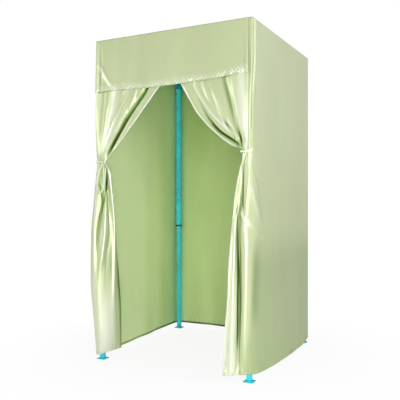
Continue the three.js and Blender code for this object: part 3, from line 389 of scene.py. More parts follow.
def puckers(along, seed, pitch):
    """Gathers along a sewn edge, between about -1 and 1."""
    draw = np.random.default_rng(seed)
    total = 0
    for _ in range(5):
        wave = pitch * draw.uniform(0.6, 1.7)
        total = total + np.sin(2 * math.pi * along / wave + draw.uniform(0, 2 * math.pi))
    return total / 2.2


def spaced(count, first, last):
    """Evenly spaced numbers, both ends included."""
    return np.linspace(first, last, count)


def hem_rows(count, top, bottom, band=0.03, band_count=12):
    """Row heights from top to bottom, closer together near both ends."""
    body = spaced(count, top - band, bottom + band)
    return np.concatenate([spaced(band_count, top, top - band)[:-1], body,
                           spaced(band_count, bottom + band, bottom)[1:]])


def edge_columns(count, band=0.04, band_count=8):
    """Shares across a cloth, closer together near both edges."""
    body = spaced(count, band, 1 - band)
    return np.concatenate([spaced(band_count, 0, band)[:-1], body, spaced(band_count, 1 - band, 1)[1:]])


def outward(x, y, side):
    """Unit directions out of a cloth in plan, one for each grid point."""
    along_x, along_y = np.gradient(x, axis=1), np.gradient(y, axis=1)
    length = np.maximum(np.hypot(along_x, along_y), 1e-9)
    return side * along_y / length, -side * along_x / length


def lifted(levels, across, tracks):
    """Heights of a cloth's grid points, with the hem rising and falling along its edge."""
    lowest = levels[-1]
    hem = smooth(np.column_stack([tracks["at"], tracks["hem"]]), across) * COVER_HEIGHT
    fade = np.maximum(0, 1 - (np.minimum(levels, TOP_MID) - lowest) / HEM_REACH) ** 2
    return np.minimum(levels, TOP_MID)[:, None] + fade[:, None] * (hem - lowest)[None, :]


class Socket:
    """A shader value that takes plus, minus, times and the like."""

    def __init__(self, finish, link):
        self.finish = finish
        self.link = link

    def math(self, operation, *others):
        return self.finish.node("ShaderNodeMath", {"operation": operation}, dict(enumerate((self,) + others)))

    def __add__(self, other):
        return self.math("ADD", other)

    def __sub__(self, other):
        return self.math("SUBTRACT", other)

    def __rsub__(self, other):
        return self.finish.node("ShaderNodeMath", {"operation": "SUBTRACT"}, {0: other, 1: self})

    def __mul__(self, other):
        return self.math("MULTIPLY", other)

    __radd__ = __add__
    __rmul__ = __mul__

    def above(self, other):
        return self.math("GREATER_THAN", other)

    def absolute(self):
        return self.math("ABSOLUTE")

    def sine(self):
        return self.math("SINE")


class Finish:
    """A material under construction, with one way to add any node."""

    def __init__(self, name, constants):
        self.material = bpy.data.materials.new(name)
        self.material.use_nodes = True
        self.tree = self.material.node_tree
        self.shader = self.tree.nodes["Principled BSDF"]
        for socket, value in constants.items():
            self.shader.inputs[socket].default_value = value

    def node(self, kind, settings, inputs, out=0):
        made = self.tree.nodes.new(kind)
        for key, value in settings.items():
            setattr(made, key, value)
        for key, value in inputs.items():
            self.put(made.inputs[key], value)
        return Socket(self, made.outputs[out])

    def put(self, socket, value):
        if isinstance(value, Socket):
            self.tree.links.new(value.link, socket)
        else:
            socket.default_value = value

    def feed(self, socket, value):
        self.put(self.shader.inputs[socket], value)

    def place(self, stretch=(1, 1, 1)):
        """Object coordinates, stretched along each axis."""
        coordinates = self.node("ShaderNodeTexCoord", {}, {}, "Object")
        return self.node("ShaderNodeMapping", {}, {"Vector": coordinates, "Scale": stretch})

    def cloud(self, place, scale, detail=3.0, roughness=0.5):
        return self.node("ShaderNodeTexNoise", {}, {"Vector": place, "Scale": scale, "Detail": detail,
                                                    "Roughness": roughness}, "Fac")

    def blend(self, amount, first, second):
        return self.node("ShaderNodeMix", {"data_type": "RGBA"}, {0: amount, 6: first, 7: second}, 2)

    def span(self, value, low, high):
        """The value's place between low and high, from 0 to 1, eased at both ends."""
        return self.node("ShaderNodeMapRange", {"interpolation_type": "SMOOTHSTEP"},
                         {"Value": value, "From Min": low, "From Max": high})

    def field(self, name):
        return self.node("ShaderNodeAttribute", {"attribute_name": name}, {}, "Fac")

    def relief(self, height, distance, strength):
        bump = self.node("ShaderNodeBump", {}, {"Height": height, "Distance": distance, "Strength": strength})
        self.feed("Normal", bump)


def linear(colour):
    """A colour written as on screen, as the shader's linear values."""
    return tuple(c / 12.92 if c <= 0.04045 else ((c + 0.055) / 1.055) ** 2.4 for c in colour) + (1.0,)


def satin_finish(name, body, crest, valley, roughness, thread, shade="fold"):
    """Woven satin with painted light: a painted highlight on the crests of folds, painted shade in the
    valleys and the darkest painted shade where two folds close up, with a sewn seam near each edge."""
    finish = Finish(name, {"Specular IOR Level": 0.8})
    fold = finish.field(shade)
    broad = finish.cloud(finish.place((1, 1, 0.35)), 5.0, 2.0)
    colour = finish.blend(finish.span(broad, 0.35, 0.7), linear([c * 0.975 for c in body]), linear(body))
    # Painted highlight towards the crest colour where the fold share is high, painted shade towards the
    # valley colour where it is low, and near-black painted shade where two folds close up
    colour = finish.blend(finish.span(fold, 0.0, 1.0), colour, linear(crest))
    colour = finish.blend(finish.span(fold * -1, 0.1, 1.0), colour, linear(valley))
    gap_shade = finish.span(fold * -1, 0.9, 2.0)
    colour = finish.blend(gap_shade, colour, linear([c * 0.3 for c in valley]))
    seam = (finish.field("from_edge") - SEAM_INSET).absolute()
    line = 1 - finish.span(seam, 0.0003, 0.0011)
    dashes = (finish.field("along_edge") * (2 * math.pi / STITCH_PITCH)).sine().above(-0.35)
    stitch = line * dashes
    colour = finish.blend(line * 0.35, colour, linear([c * 0.8 for c in body]))
    finish.feed("Base Color", finish.blend(stitch * 0.8, colour, linear(thread)))
    weave = finish.cloud(finish.place((1, 1, 6)), 900.0, 1.0)
    slack = finish.cloud(finish.place((1, 1, 0.5)), 28.0, 3.0)
    finish.relief(slack * 1.0 + weave * 0.05 + stitch * 0.25 - line * 0.35, 0.0016, 0.5)
    finish.feed("Roughness", roughness + (weave - 0.5) * 0.08 + gap_shade * 0.2)
    finish.feed("Metallic", 0.3 + finish.span(fold * -1, 0.4, 1.6) * 0.65)
    return finish.material


def paint_finish(name, colour, worn):
    """Powder coat over steel: a fine peel, faint dust and lighter rubbed patches."""
    finish = Finish(name, {"Coat Roughness": 0.25, "Specular IOR Level": 0.5})
    dust = finish.cloud(finish.place(), 14.0, 5.0, 0.6)
    peel = finish.cloud(finish.place(), 650.0, 2.0)
    rub = finish.span(finish.cloud(finish.place((1, 1, 0.3)), 60.0, 6.0, 0.7), 0.62, 0.78)
    base = finish.blend(finish.span(dust, 0.4, 0.7), linear(colour), linear([c * 0.9 for c in colour]))
    finish.feed("Base Color", finish.blend(rub * 0.35, base, linear(worn)))
    finish.feed("Roughness", 0.34 + dust * 0.16 + rub * 0.1)
    finish.feed("Coat Weight", 0.25)
    finish.relief(peel, 0.0002, 0.35)
    return finish.material


def plastic_finish(name, colour, roughness):
    """Moulded plastic with a fine spark-eroded grain."""
    finish = Finish(name, {"Specular IOR Level": 0.45})
    grain = finish.cloud(finish.place(), 1400.0, 2.0)
    haze = finish.cloud(finish.place(), 40.0, 4.0)
    finish.feed("Base Color", finish.blend(finish.span(haze, 0.35, 0.75), linear(colour),
                                           linear([min(1, c * 1.12 + 0.01) for c in colour])))
    finish.feed("Roughness", roughness + haze * 0.12)
    finish.relief(grain, 0.0001, 0.3)
    return finish.material


def steel_finish(name):
    """Spring steel, drawn lengthwise."""
    finish = Finish(name, {"Metallic": 1.0})
    drawn = finish.cloud(finish.place((1, 1, 0.02)), 900.0, 3.0)
    finish.feed("Base Color", finish.blend(drawn, linear((0.55, 0.57, 0.58)), linear((0.72, 0.74, 0.75))))
    finish.feed("Roughness", 0.24 + drawn * 0.2)
    finish.relief(drawn, 0.00008, 0.4)
    return finish.material


FINISHES = {}


def finish_for(slot):
    """The material of a record slot, made once."""
    if slot not in FINISHES:
        colours = bpy.context.scene.fitting_room_colours
        makers = {
            "cover_satin": lambda: satin_finish("cover_satin", colours.satin, colours.satin_highlight,
                                                colours.satin_valley_shade, 0.36, colours.thread),
            "cover_inside": lambda: satin_finish("cover_inside", colours.inside, colours.inside_highlight,
                                                 colours.inside_valley_shade, 0.5, colours.thread, "inner_painted_shading"),
            "tie_satin": lambda: satin_finish("tie_satin", colours.tie, colours.tie, colours.satin, 0.34,
                                              colours.thread),
            "frame_paint": lambda: paint_finish("frame_paint", colours.paint, colours.paint_worn),
            "foot_paint": lambda: paint_finish("foot_paint", colours.foot_paint, colours.paint_worn),
            "joint_plastic": lambda: plastic_finish("joint_plastic", colours.joint, 0.36),
            "guide_plastic": lambda: plastic_finish("guide_plastic", colours.guide, 0.45),
            "spring_steel": lambda: steel_finish("spring_steel"),
            "bare_steel_and_shade": lambda: plastic_finish("bare_steel_and_shade", colours.bare_steel_and_shade, 0.6),
        }
        FINISHES[slot] = makers[slot]()
    return FINISHES[slot]


def deselect():
    if bpy.context.object and bpy.context.object.mode != "OBJECT":
        bpy.ops.object.mode_set(mode="OBJECT")
    bpy.ops.object.select_all(action="DESELECT")


def focus(piece):
    deselect()
    piece.select_set(True)
    bpy.context.view_layer.objects.active = piece


def apply_modifier(piece, kind, **settings):
    focus(piece)
    modifier = piece.modifiers.new(kind.title(), kind)
    for key, value in settings.items():
        setattr(modifier, key, value)
    bpy.ops.object.modifier_apply(modifier=modifier.name)


def smooth_shading(piece, degrees=None):
    focus(piece)
    if degrees is None:
        bpy.ops.object.shade_smooth()
    else:
        bpy.ops.object.shade_smooth_by_angle(angle=math.radians(degrees))


def bare_piece(name, points, faces):
    """A new piece from its points and faces."""
    mesh = bpy.data.meshes.new(name)
    mesh.from_pydata(points.tolist(), [], faces)
    piece = bpy.data.objects.new(name, mesh)
    bpy.context.collection.objects.link(piece)
    return piece


def keep_field(mesh, name, values):
    """Stores one number for each point, for the materials to read."""
    mesh.attributes.new(name, "FLOAT", "POINT").data.foreach_set("value", values.astype(np.float32).ravel())


def new_cloth(name, grid, fold, outer, inner, thickness, flip, hem_highlight=0.0, inner_painted_light=0.0):
    """A closed sheet from a grid of points, with its folds' painted light and shade and its edges kept as
    attributes. The hem highlight is how strongly a painted highlight shows along its sewn side edges, beside
    a painted shade line. The inner painted light is painted light and shade on its inner face alone: paler
    where light comes through from outside, darker where shade falls."""
    rows, columns = grid.shape[:2]
    index = np.arange(rows * columns).reshape(rows, columns)
    quads = np.stack([index[:-1, :-1], index[:-1, 1:], index[1:, 1:], index[1:, :-1]], -1).reshape(-1, 4)
    if not flip:
        quads = quads[:, ::-1]
    piece = bare_piece(name, grid.reshape(-1, 3), quads.tolist())
    mesh = piece.data
    steps_across = np.linalg.norm(np.diff(grid, axis=1), axis=2)
    steps_down = np.linalg.norm(np.diff(grid, axis=0), axis=2)
    across = np.concatenate([np.zeros((rows, 1)), np.cumsum(steps_across, 1)], 1)
    down = np.concatenate([np.zeros((1, columns)), np.cumsum(steps_down, 0)], 0)
    to_side = np.minimum(across, across[:, -1:] - across)
    to_end = np.minimum(down, down[-1:, :] - down)
    # Painted highlight along the sewn side edges, and a painted shade line just inside it
    fold = fold + hem_highlight * (bell(to_side, 0.006, 0.005) - 0.5 * bell(to_side, 0.017, 0.004))
    # The fold share carries painted light and shade for the outer face; the inner face adds its own painted
    # light and shade
    values = {"fold": fold, "inner_painted_shading": fold + inner_painted_light, "from_edge": np.minimum(to_side, to_end),
              "along_edge": np.where(to_side < to_end, down, across)}
    for key, field in values.items():
        keep_field(mesh, key, field)
    layer = mesh.uv_layers.new(name="ClothMetres")
    corners = np.empty(len(mesh.loops), np.int32)
    mesh.loops.foreach_get("vertex_index", corners)
    layer.data.foreach_set("uv", np.stack([across.ravel()[corners], -down.ravel()[corners]], 1)
                           .astype(np.float32).ravel())
    mesh.materials.append(finish_for(outer))
    mesh.materials.append(finish_for(inner))
    apply_modifier(piece, "SOLIDIFY", thickness=thickness, offset=0.0, material_offset=1,
                   use_even_offset=False)
    smooth_shading(piece)
    return piece


def dress(piece, body, slot, nodes=(), joint_axis=None, anchor=None):
    """Fits a finished piece into the frame: hangs it on its body, hides the parts it stands for and, given a
    way of folding, gives it a mesh of its own. The slot and the anchor are not used.
    """
    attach(piece, body)
    if nodes:
        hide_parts(*nodes)
    if joint_axis:
        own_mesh(piece)
    return piece


def cover_cloth(node, grid, fold, flip, leg, squeeze, hem_highlight=0.0, inner_painted_light=0.0):
    """A cloth of the cover, fitted to the post of one leg and hung on its body."""
    piece = new_cloth(node + "_cloth", grid, fold, "cover_satin", "cover_inside", sizes().cloth, flip,
                      hem_highlight, inner_painted_light)
    return dress(piece, POSTS[leg], "cover_satin", [node], *squeeze)


def shade_share(height, deepest):
    """Fold height as a share from -1 in the deepest valley to 1 on the highest ridge."""
    return np.clip(height / deepest, -1, 1)


def length_property(name, description, default, least, most):
    return bpy.props.FloatProperty(name=name, description=description, default=default, min=least, max=most,
                                   unit="LENGTH")


class FittingRoomSizes(bpy.types.PropertyGroup):
    cloth: length_property("Cloth", "Thickness of the satin", 0.00068, 0.0003, 0.0015)
    hem_pucker: length_property("Hem pucker", "How far the sewn hems gather in and out", 0.0016, 0.0, 0.004)
    side_slack: length_property("Side slack", "Soft waves in the wide panels", 0.0014, 0.0, 0.005)
    roof_sag: length_property("Roof sag", "How far the roof hangs in its middle", 0.007, 0.0, 0.02)
    edge_round: length_property("Edge round", "Radius on the corners of hard parts", 0.0012, 0.0002, 0.003)


def colour_property(name, description, default):
    return bpy.props.FloatVectorProperty(name=name, description=description, default=default, size=3,
                                         min=0.0, max=1.0, subtype="COLOR_GAMMA")


class FittingRoomColours(bpy.types.PropertyGroup):
    satin: colour_property("Satin", "Outside of the cover", (0.770, 0.815, 0.630))
    # The crest colours are painted highlights on the crests of folds, the valley colours painted shade deep
    # in them
    satin_highlight: colour_property("Satin crest", "Outside, on the crests of folds", (0.908, 0.922, 0.865))
    satin_valley_shade: colour_property("Satin valley", "Outside, deep in a fold", (0.340, 0.480, 0.140))
    # The inside is paler than the outside: the inner face's own colour together with painted light for the
    # light that comes through the thin cloth
    inside: colour_property("Inside", "Inside of the cover", (0.800, 0.877, 0.612))
    inside_highlight: colour_property("Inside crest", "Inside, on a crest", (0.955, 0.995, 0.815))
    inside_valley_shade: colour_property("Inside valley", "Inside, deep in a fold", (0.685, 0.770, 0.445))
    tie: colour_property("Tie", "Ribbons of the ties", (0.850, 0.880, 0.750))
    thread: colour_property("Thread", "Sewing thread", (0.840, 0.870, 0.720))
    paint: colour_property("Paint", "Powder coat of the tubes and bars", (0.200, 0.890, 1.000))
    paint_worn: colour_property("Rubbed paint", "Powder coat where it is rubbed", (0.420, 0.860, 0.900))
    foot_paint: colour_property("Foot paint", "Powder coat of the feet", (0.200, 0.800, 0.870))
    joint: colour_property("Joint plastic", "Brackets and sliders", (0.060, 0.560, 0.640))
    guide: colour_property("Guide plastic", "Collars on the legs", (0.110, 0.160, 0.180))
    # Near black: the tubes' unpainted inside, together with painted shade for their shaded bore
    bare_steel_and_shade: colour_property("Bare steel", "Unpainted walls inside the tubes", (0.110, 0.130, 0.140))


class FittingRoomStage(bpy.types.Operator):
    """Camera at the photograph's angle, pale floor and soft studio light"""
    bl_idname = "fitting_room.stage"
    bl_label = "Camera, floor and light"

    FLOOR_RADIUS = 14.0
    AMBIENT = 0.53
    LAMPS = (
        ("door_lamp", (1.5, -3.3, 0.5), (-0.4, 0.1, 1.25), 1.2, 52),
        ("left_lamp", (-4.2, -3.0, 2.2), (0.0, -0.4, 1.0), 1.4, 40),
        ("corner_lamp", (2.9, -2.6, 1.7), (-0.5, 0.2, 1.3), 1.2, 34),
        ("side_lamp", (4.2, 0.6, 2.6), (0.5, 0.0, 1.6), 1.5, 42),
    )

    def execute(self, context):
        self.add_camera(context.scene)
        self.add_floor()
        self.add_lamps()
        self.add_world(context.scene)
        context.scene.view_settings.view_transform = "Standard"
        return {"FINISHED"}

    def add_camera(self, scene):
        bpy.ops.object.camera_add(location=CAMERA_AT, rotation=(math.pi / 2, 0, CAMERA_YAW))
        camera = bpy.context.object
        camera.name = "photo_camera"
        camera.data.sensor_width = SENSOR_MM
        camera.data.lens = FOCAL_PX / PHOTO_SIZE * SENSOR_MM
        camera.data.shift_x = -SHIFT_PX / PHOTO_SIZE
        camera.data.clip_end = 60
        scene.camera = camera

    def add_floor(self):
        deselect()
        bpy.ops.mesh.primitive_circle_add(vertices=96, radius=self.FLOOR_RADIUS, fill_type="NGON")
        floor = bpy.context.object
        floor.name = "floor"
        floor.data.materials.append(self.floor_finish())

    def floor_finish(self):
        """Pale near the object, where it takes the shadow, and plain white further out."""
        finish = Finish("floor_white", {"Base Color": linear((0.96, 0.96, 0.96)), "Roughness": 0.9})
        coordinates = finish.node("ShaderNodeTexCoord", {}, {}, "Object")
        distance = finish.node("ShaderNodeVectorMath", {"operation": "LENGTH"}, {0: coordinates}, "Value")
        seen = finish.node("ShaderNodeLightPath", {}, {}, "Is Camera Ray")
        white = finish.node("ShaderNodeEmission", {}, {"Color": (1, 1, 1, 1), "Strength": 1.0})
        plain = Socket(finish, finish.shader.outputs[0])
        far = finish.span(distance, 0.5, 1.5)
        mixed = finish.node("ShaderNodeMixShader", {}, {0: seen * (0.9 + far * 0.1), 1: plain, 2: white})
        output = finish.tree.nodes["Material Output"]
        finish.tree.links.new(mixed.link, output.inputs["Surface"])
        return finish.material

    def add_lamps(self):
        for name, place, target, size, power in self.LAMPS:
            aim = (Vector(target) - Vector(place)).to_track_quat("-Z", "Y").to_euler()
            bpy.ops.object.light_add(type="AREA", location=place, rotation=aim)
            lamp = bpy.context.object
            lamp.name = name
            lamp.data.shape = "SQUARE"
            lamp.data.size = size
            lamp.data.energy = power
            lamp.visible_camera = False

    def add_world(self, scene):
        world = bpy.data.worlds.new("studio")
        world.use_nodes = True
        scene.world = world
        tree = world.node_tree
        soft = tree.nodes["Background"]
        soft.inputs["Color"].default_value = (1, 1, 1, 1)
        soft.inputs["Strength"].default_value = self.AMBIENT
        white = tree.nodes.new("ShaderNodeBackground")
        white.inputs["Color"].default_value = (1, 1, 1, 1)
        white.inputs["Strength"].default_value = 1.0
        path = tree.nodes.new("ShaderNodeLightPath")
        mix = tree.nodes.new("ShaderNodeMixShader")
        links = tree.links
        links.new(path.outputs["Is Camera Ray"], mix.inputs[0])
        links.new(soft.outputs[0], mix.inputs[1])
        links.new(white.outputs[0], mix.inputs[2])
        links.new(mix.outputs[0], tree.nodes["World Output"].inputs["Surface"])


def sizes():
    return bpy.context.scene.fitting_room_sizes


def add_sheet_form(grid, height, side):
    """Moves a cloth's grid points out of the cloth by their fold heights."""
    out_x, out_y = outward(grid[..., 0], grid[..., 1], side)
    moved = grid.copy()
    moved[..., 0] += out_x * height
    moved[..., 1] += out_y * height
    return moved


def hem_form(grid, seed, pitch, band=0.022):
    """Gathers in the sewn hem along the bottom."""
    drop = grid[..., 2] - grid[-1:, :, 2]
    step = np.linalg.norm(np.diff(grid, axis=1), axis=2)
    along = np.concatenate([np.zeros((len(grid), 1)), np.cumsum(step, 1)], 1)
    wave = puckers(along[-1], seed, pitch)[None, :]
    amount = bell(drop, band * 0.7, band * 0.6) + 0.35 * bell(drop, 0, band)
    return sizes().hem_pucker * amount * wave


def hem_shadow(grid, width=0.016):
    """How much darker a wall's inside is along the turned-up hem at its foot."""
    drop = grid[..., 2] - grid[-1:, :, 2]
    return 1.9 * within((width - drop) / 0.004)


class FittingRoomCurtains(bpy.types.Operator):
    """Two doorway curtains, gathered at their ties"""
    bl_idname = "fitting_room.curtains"
    bl_label = "Curtains"

    COLUMNS = 130
    ROWS = 210
    TOP = 0.993 * COVER_HEIGHT
    SLACK = 0.0008
    FULL_SHADE = 0.014
    # The outer edge lies flat: all the way down on the left curtain, above this height on the right one
    FLAT_ABOVE = 1.15
    EDGE_BAND = 0.05
    # The painted highlight along the sewn edge shows this strongly, and on the left curtain it has faded out
    # at this height
    HEM_HIGHLIGHT = 0.8
    HEM_HIGHLIGHT_FROM = 0.8
    # Room that the folds leave behind the valance, and where the cloth has to pass in front of a leg
    VALANCE_ROOM = 0.0022
    CLEAR_OF_LEG = 0.4925
    LEG_FROM = 0.41
    CORNER = 0.4975
    FOOT_TOP = 0.012
    PANELS = (
        ("curtain_left", CURTAIN_LEFT, FOLDS_LEFT, SHADES_LEFT, 1, "fl", TO_LEFT, (0.52, 1.86), 0.5, 0.018),
        ("curtain_right", CURTAIN_RIGHT, FOLDS_RIGHT, SHADES_RIGHT, -1, "fr", TO_RIGHT, (0.50, 1.86), 0.46,
         0.017),
    )

    def execute(self, context):
        for panel in self.PANELS:
            self.add_curtain(*panel)
        return {"FINISHED"}

    def add_curtain(self, name, tracks, folds, shades, side, leg, squeeze, flat, area, bottom):
        across = edge_columns(self.COLUMNS)
        levels = hem_rows(self.ROWS, self.TOP, bottom * COVER_HEIGHT)
        x, y = plan_points(tracks, across, levels)
        grid = np.stack([x, y, lifted(levels, across, tracks)], 2)
        height = creased(grid, folds)
        flat_edge = within((grid[..., 2] - self.FLAT_ABOVE) / 0.05) if side < 0 else 1
        height *= 1 - flat_edge * (1 - within(across / self.EDGE_BAND)[None, :])
        height = self.under_valance(grid, height)
        # Painted highlight and shade: a share of each fold's height, plus the painted lines of the shade
        # table
        shade = shade_share(height, self.FULL_SHADE) + creased(grid, shades) * 1000
        slack = ripple(x, grid[..., 2], 7, 0.12) * self.SLACK
        grid = add_sheet_form(grid, height + slack + hem_form(grid, 11 + side, 0.022), side)
        grid = self.clear_leg(grid)
        # Strength of the painted highlight along the sewn edge
        sewn = self.HEM_HIGHLIGHT * (within((grid[..., 2] - self.HEM_HIGHLIGHT_FROM) / 0.3) if side > 0 else 1)
        piece = cover_cloth(name, grid, np.clip(shade, -2, 1), side < 0, leg, squeeze, sewn)

    def under_valance(self, grid, height):
        """Lowers the folds to what fits behind the valance, easing in just below its edge."""
        edge = smooth(VALANCE_EDGE, grid[..., 0] / COVER_WIDTH) * COVER_HEIGHT
        share = within((TOP_MID - grid[..., 2]) / (TOP_MID - edge))
        room = grid[..., 1] + CLOTH_MID + VALANCE_STAND * share ** VALANCE_SWELL - self.VALANCE_ROOM
        room = room + within((edge - grid[..., 2]) / 0.03) * 0.03
        return np.minimum(height, np.maximum(room, 0))

    def clear_leg(self, grid):
        """Keeps the cloth in front of the leg's bracket, slider and tube."""
        reach = within((np.abs(grid[..., 0]) - self.LEG_FROM) / 0.03)
        limit = -self.CLEAR_OF_LEG * reach - (self.CLEAR_OF_LEG - 0.12) * (1 - reach)
        beside = (np.abs(grid[..., 0]) < self.CORNER) & (reach > 0.99)
        beside = beside & (grid[..., 2] > self.FOOT_TOP) & (grid[..., 1] < -0.4)
        grid[..., 1] = np.where(beside, np.minimum(grid[..., 1], limit), grid[..., 1])
        return grid


class FittingRoomWalls(bpy.types.Operator):
    """Back, left and right walls, each turned over the roof's edge"""
    bl_idname = "fitting_room.walls"
    bl_label = "Walls"

    COLUMNS = 150
    ROWS = 120
    RIGHT_ROWS = 170
    WAVE = 0.0016
    FULL_SHADE = 0.02
    RIGHT_FULL_SHADE = 0.012
    SIDE_GAP = 0.0009
    # Painted light and shade on each wall by height in metres, for how light falls on it: inside on the back
    # and left walls, outside on the right
    BACK_PAINTED_LIGHT = [(0, 0.35), (0.7, 0.15), (1.1, -0.15), (1.5, -0.5), (1.9, -0.7)]
    LEFT_PAINTED_LIGHT = [(0, 0.95), (0.7, 0.95), (1.1, 0.95), (1.5, 1.0), (1.9, 1.0)]
    RIGHT_PAINTED_LIGHT = [(0, -0.46), (0.55, -0.42), (0.85, -0.1), (1.1, 0.16), (1.9, 0.26)]

    def execute(self, context):
        self.add_back()
        self.add_left()
        self.add_right()
        return {"FINISHED"}

    def levels(self, bottom, rows):
        """Row heights, where those of the strip that is turned over go on above the wall's top."""
        turned = spaced(14, TOP_MID + RETURN_RUN, TOP_MID)
        return np.concatenate([turned[:-1], hem_rows(rows, TOP_MID, bottom)])

    def plain_wall(self):
        """Shares across and levels down a plain wall, and each point's height and run over the roof."""
        across = spaced(self.COLUMNS, 0, 1)
        levels = self.levels(WALL_HEM, self.ROWS)
        height = np.minimum(levels, TOP_MID)[:, None] + 0 * across
        return across, levels, height, np.maximum(0, levels - TOP_MID)[:, None]

    def belly(self, height):
        """Share of a wall's bulge at each height."""
        top = BELLY["top"] * COVER_HEIGHT
        return np.maximum(0, (top - height) / top) ** BELLY["power"]

    def add_back(self):
        across, _, height, inset = self.plain_wall()
        x = (2 * across[None, :] - 1) * (HALF - CAD_CLOTH - self.SIDE_GAP - inset)
        flat = 1 - np.minimum(1, np.abs(x / HALF)) ** 6
        fall = 1 - height / COVER_HEIGHT
        wave = self.WAVE * np.sin(across * 10 * math.pi)[None, :] * flat * fall
        wave = wave + sizes().side_slack * ripple(x, height, 3, 0.3) * flat * np.clip(fall * 3, 0.1, 1)
        y = CLOTH_MID - inset + flat * BELLY["back"] * self.belly(height) + wave
        grid = np.stack([x, y, height + 0 * x], 2)
        grid[..., 1] += hem_form(grid, 21, 0.03) * 1.3
        # Painted shade on the wall's inside: lighter towards the foot, darker towards the top under the roof,
        # and a painted shadow along the hem
        inner_painted_light = smooth(self.BACK_PAINTED_LIGHT, grid[..., 2]) - hem_shadow(grid)
        piece = cover_cloth("wall_back", grid, np.clip(wave / self.FULL_SHADE, -1, 1), True, "bl", TO_LEFT,
                            inner_painted_light=inner_painted_light)

    def add_left(self):
        across, levels, height, inset = self.plain_wall()
        under = TOP_MID - 0.994 * COVER_HEIGHT
        tuck = within((TOP_MID - levels)[:, None] / under)
        front = (LEFT_FRONT_TOP + (LEFT_FRONT - LEFT_FRONT_TOP) * tuck
                 + inset * (-LEFT_FRONT_TOP - RETURN_INNER) / RETURN_RUN)
        back = HALF - inset * (HALF - RETURN_INNER) / RETURN_RUN
        y = front + (back - front) * across[None, :]
        lift = -LEFT_FRONT_DROP * (1 - across)[None, :] * np.maximum(0, 1 - height / HEM_REACH)
        lean = smooth(LEFT_LEAN, y) * self.belly(height)
        near = np.maximum(0, 1 - across * 9)[None, :] ** 2
        fall = 1 - height / COVER_HEIGHT
        wave = self.WAVE * np.sin(across * 8 * math.pi)[None, :] * fall
        wave = wave + sizes().side_slack * ripple(y, height, 5, 0.34) * np.clip(fall * 3, 0.1, 1)
        wave = wave * within((1 - across) * 6)[None, :] * within(across * 12)[None, :]
        plain = -CLOTH_MID + lean + wave
        x = plain * (1 - near) + smooth(LEFT_FRONT_EDGE, height / COVER_HEIGHT) * near + inset
        grid = np.stack([x, y + 0 * x, height + lift - STRIP_DROP * (inset > 0)], 2)
        grid[..., 0] += hem_form(grid, 23, 0.034) * 0.7
        # Painted light on the wall's inside, paler where the light falls, with painted shade towards the back
        # corner and a painted shadow along the hem
        inner_painted_light = smooth(self.LEFT_PAINTED_LIGHT, grid[..., 2])
        inner_painted_light = inner_painted_light - 0.6 * within((across - 0.45) / 0.45)[None, :] ** 1.3 - hem_shadow(grid)
        piece = cover_cloth("wall_left", grid, np.clip(-wave / self.FULL_SHADE, -1, 1), True, "bl", TO_BACK,
                            inner_painted_light=inner_painted_light)

    def add_right(self):
        across = np.concatenate([spaced(110, 0, 0.34)[:-1], spaced(90, 0.34, 1)])
        levels = self.levels(0.018 * COVER_HEIGHT, self.RIGHT_ROWS)
        over = (np.maximum(0, levels - TOP_MID) / RETURN_RUN)[:, None]
        x, y = plan_points(WALL_RIGHT, across, np.minimum(levels, TOP_MID))
        grid = np.stack([x, y, lifted(levels, across, WALL_RIGHT)], 2)
        fold = creased(grid, FOLDS_SIDE) * (1 - within((across - 0.36) / 0.1))[None, :]
        # Painted shade in the tight gap beside the curtain, near the front edge
        shades = creased(grid, SHADES_GAP) * 1000 * (across < 0.2)[None, :]
        fall = within(1 - grid[..., 2] / COVER_HEIGHT)
        slack = sizes().side_slack * ripple(y, grid[..., 2], 9, 0.35) * within(across * 4)[None, :]
        slack = slack * np.clip(fall * 3, 0.05, 1) * within((1 - across) * 12)[None, :]
        total = fold + slack + hem_form(grid, 25, 0.026) * within((1 - across) * 20)[None, :]
        grid = add_sheet_form(grid, total * (1 - over), 1)
        grid[..., 0] += (HALF - RETURN_DEPTH - grid[..., 0]) * over
        grid[..., 1] += (smooth(RIGHT_RETURN, across)[None, :] * COVER_WIDTH - grid[..., 1]) * over
        grid[..., 2] -= STRIP_DROP * (over > 0)
        # Painted light and shade on the outside: darker near the front corner at the top, lighter at the top
        # than at the foot as the light falls, and the fold heights' painted highlight and shade
        corner_shade = within((0.16 - across) / 0.05)[None, :] * within((grid[..., 2] - 1.15) / 0.1)
        fade = smooth(self.RIGHT_PAINTED_LIGHT, grid[..., 2]) - 0.55 * corner_shade + shades
        fade = np.clip(fade + shade_share(fold, self.RIGHT_FULL_SHADE), -2, 1)
        piece = cover_cloth("wall_right", grid, fade, False, "br", TO_BACK)


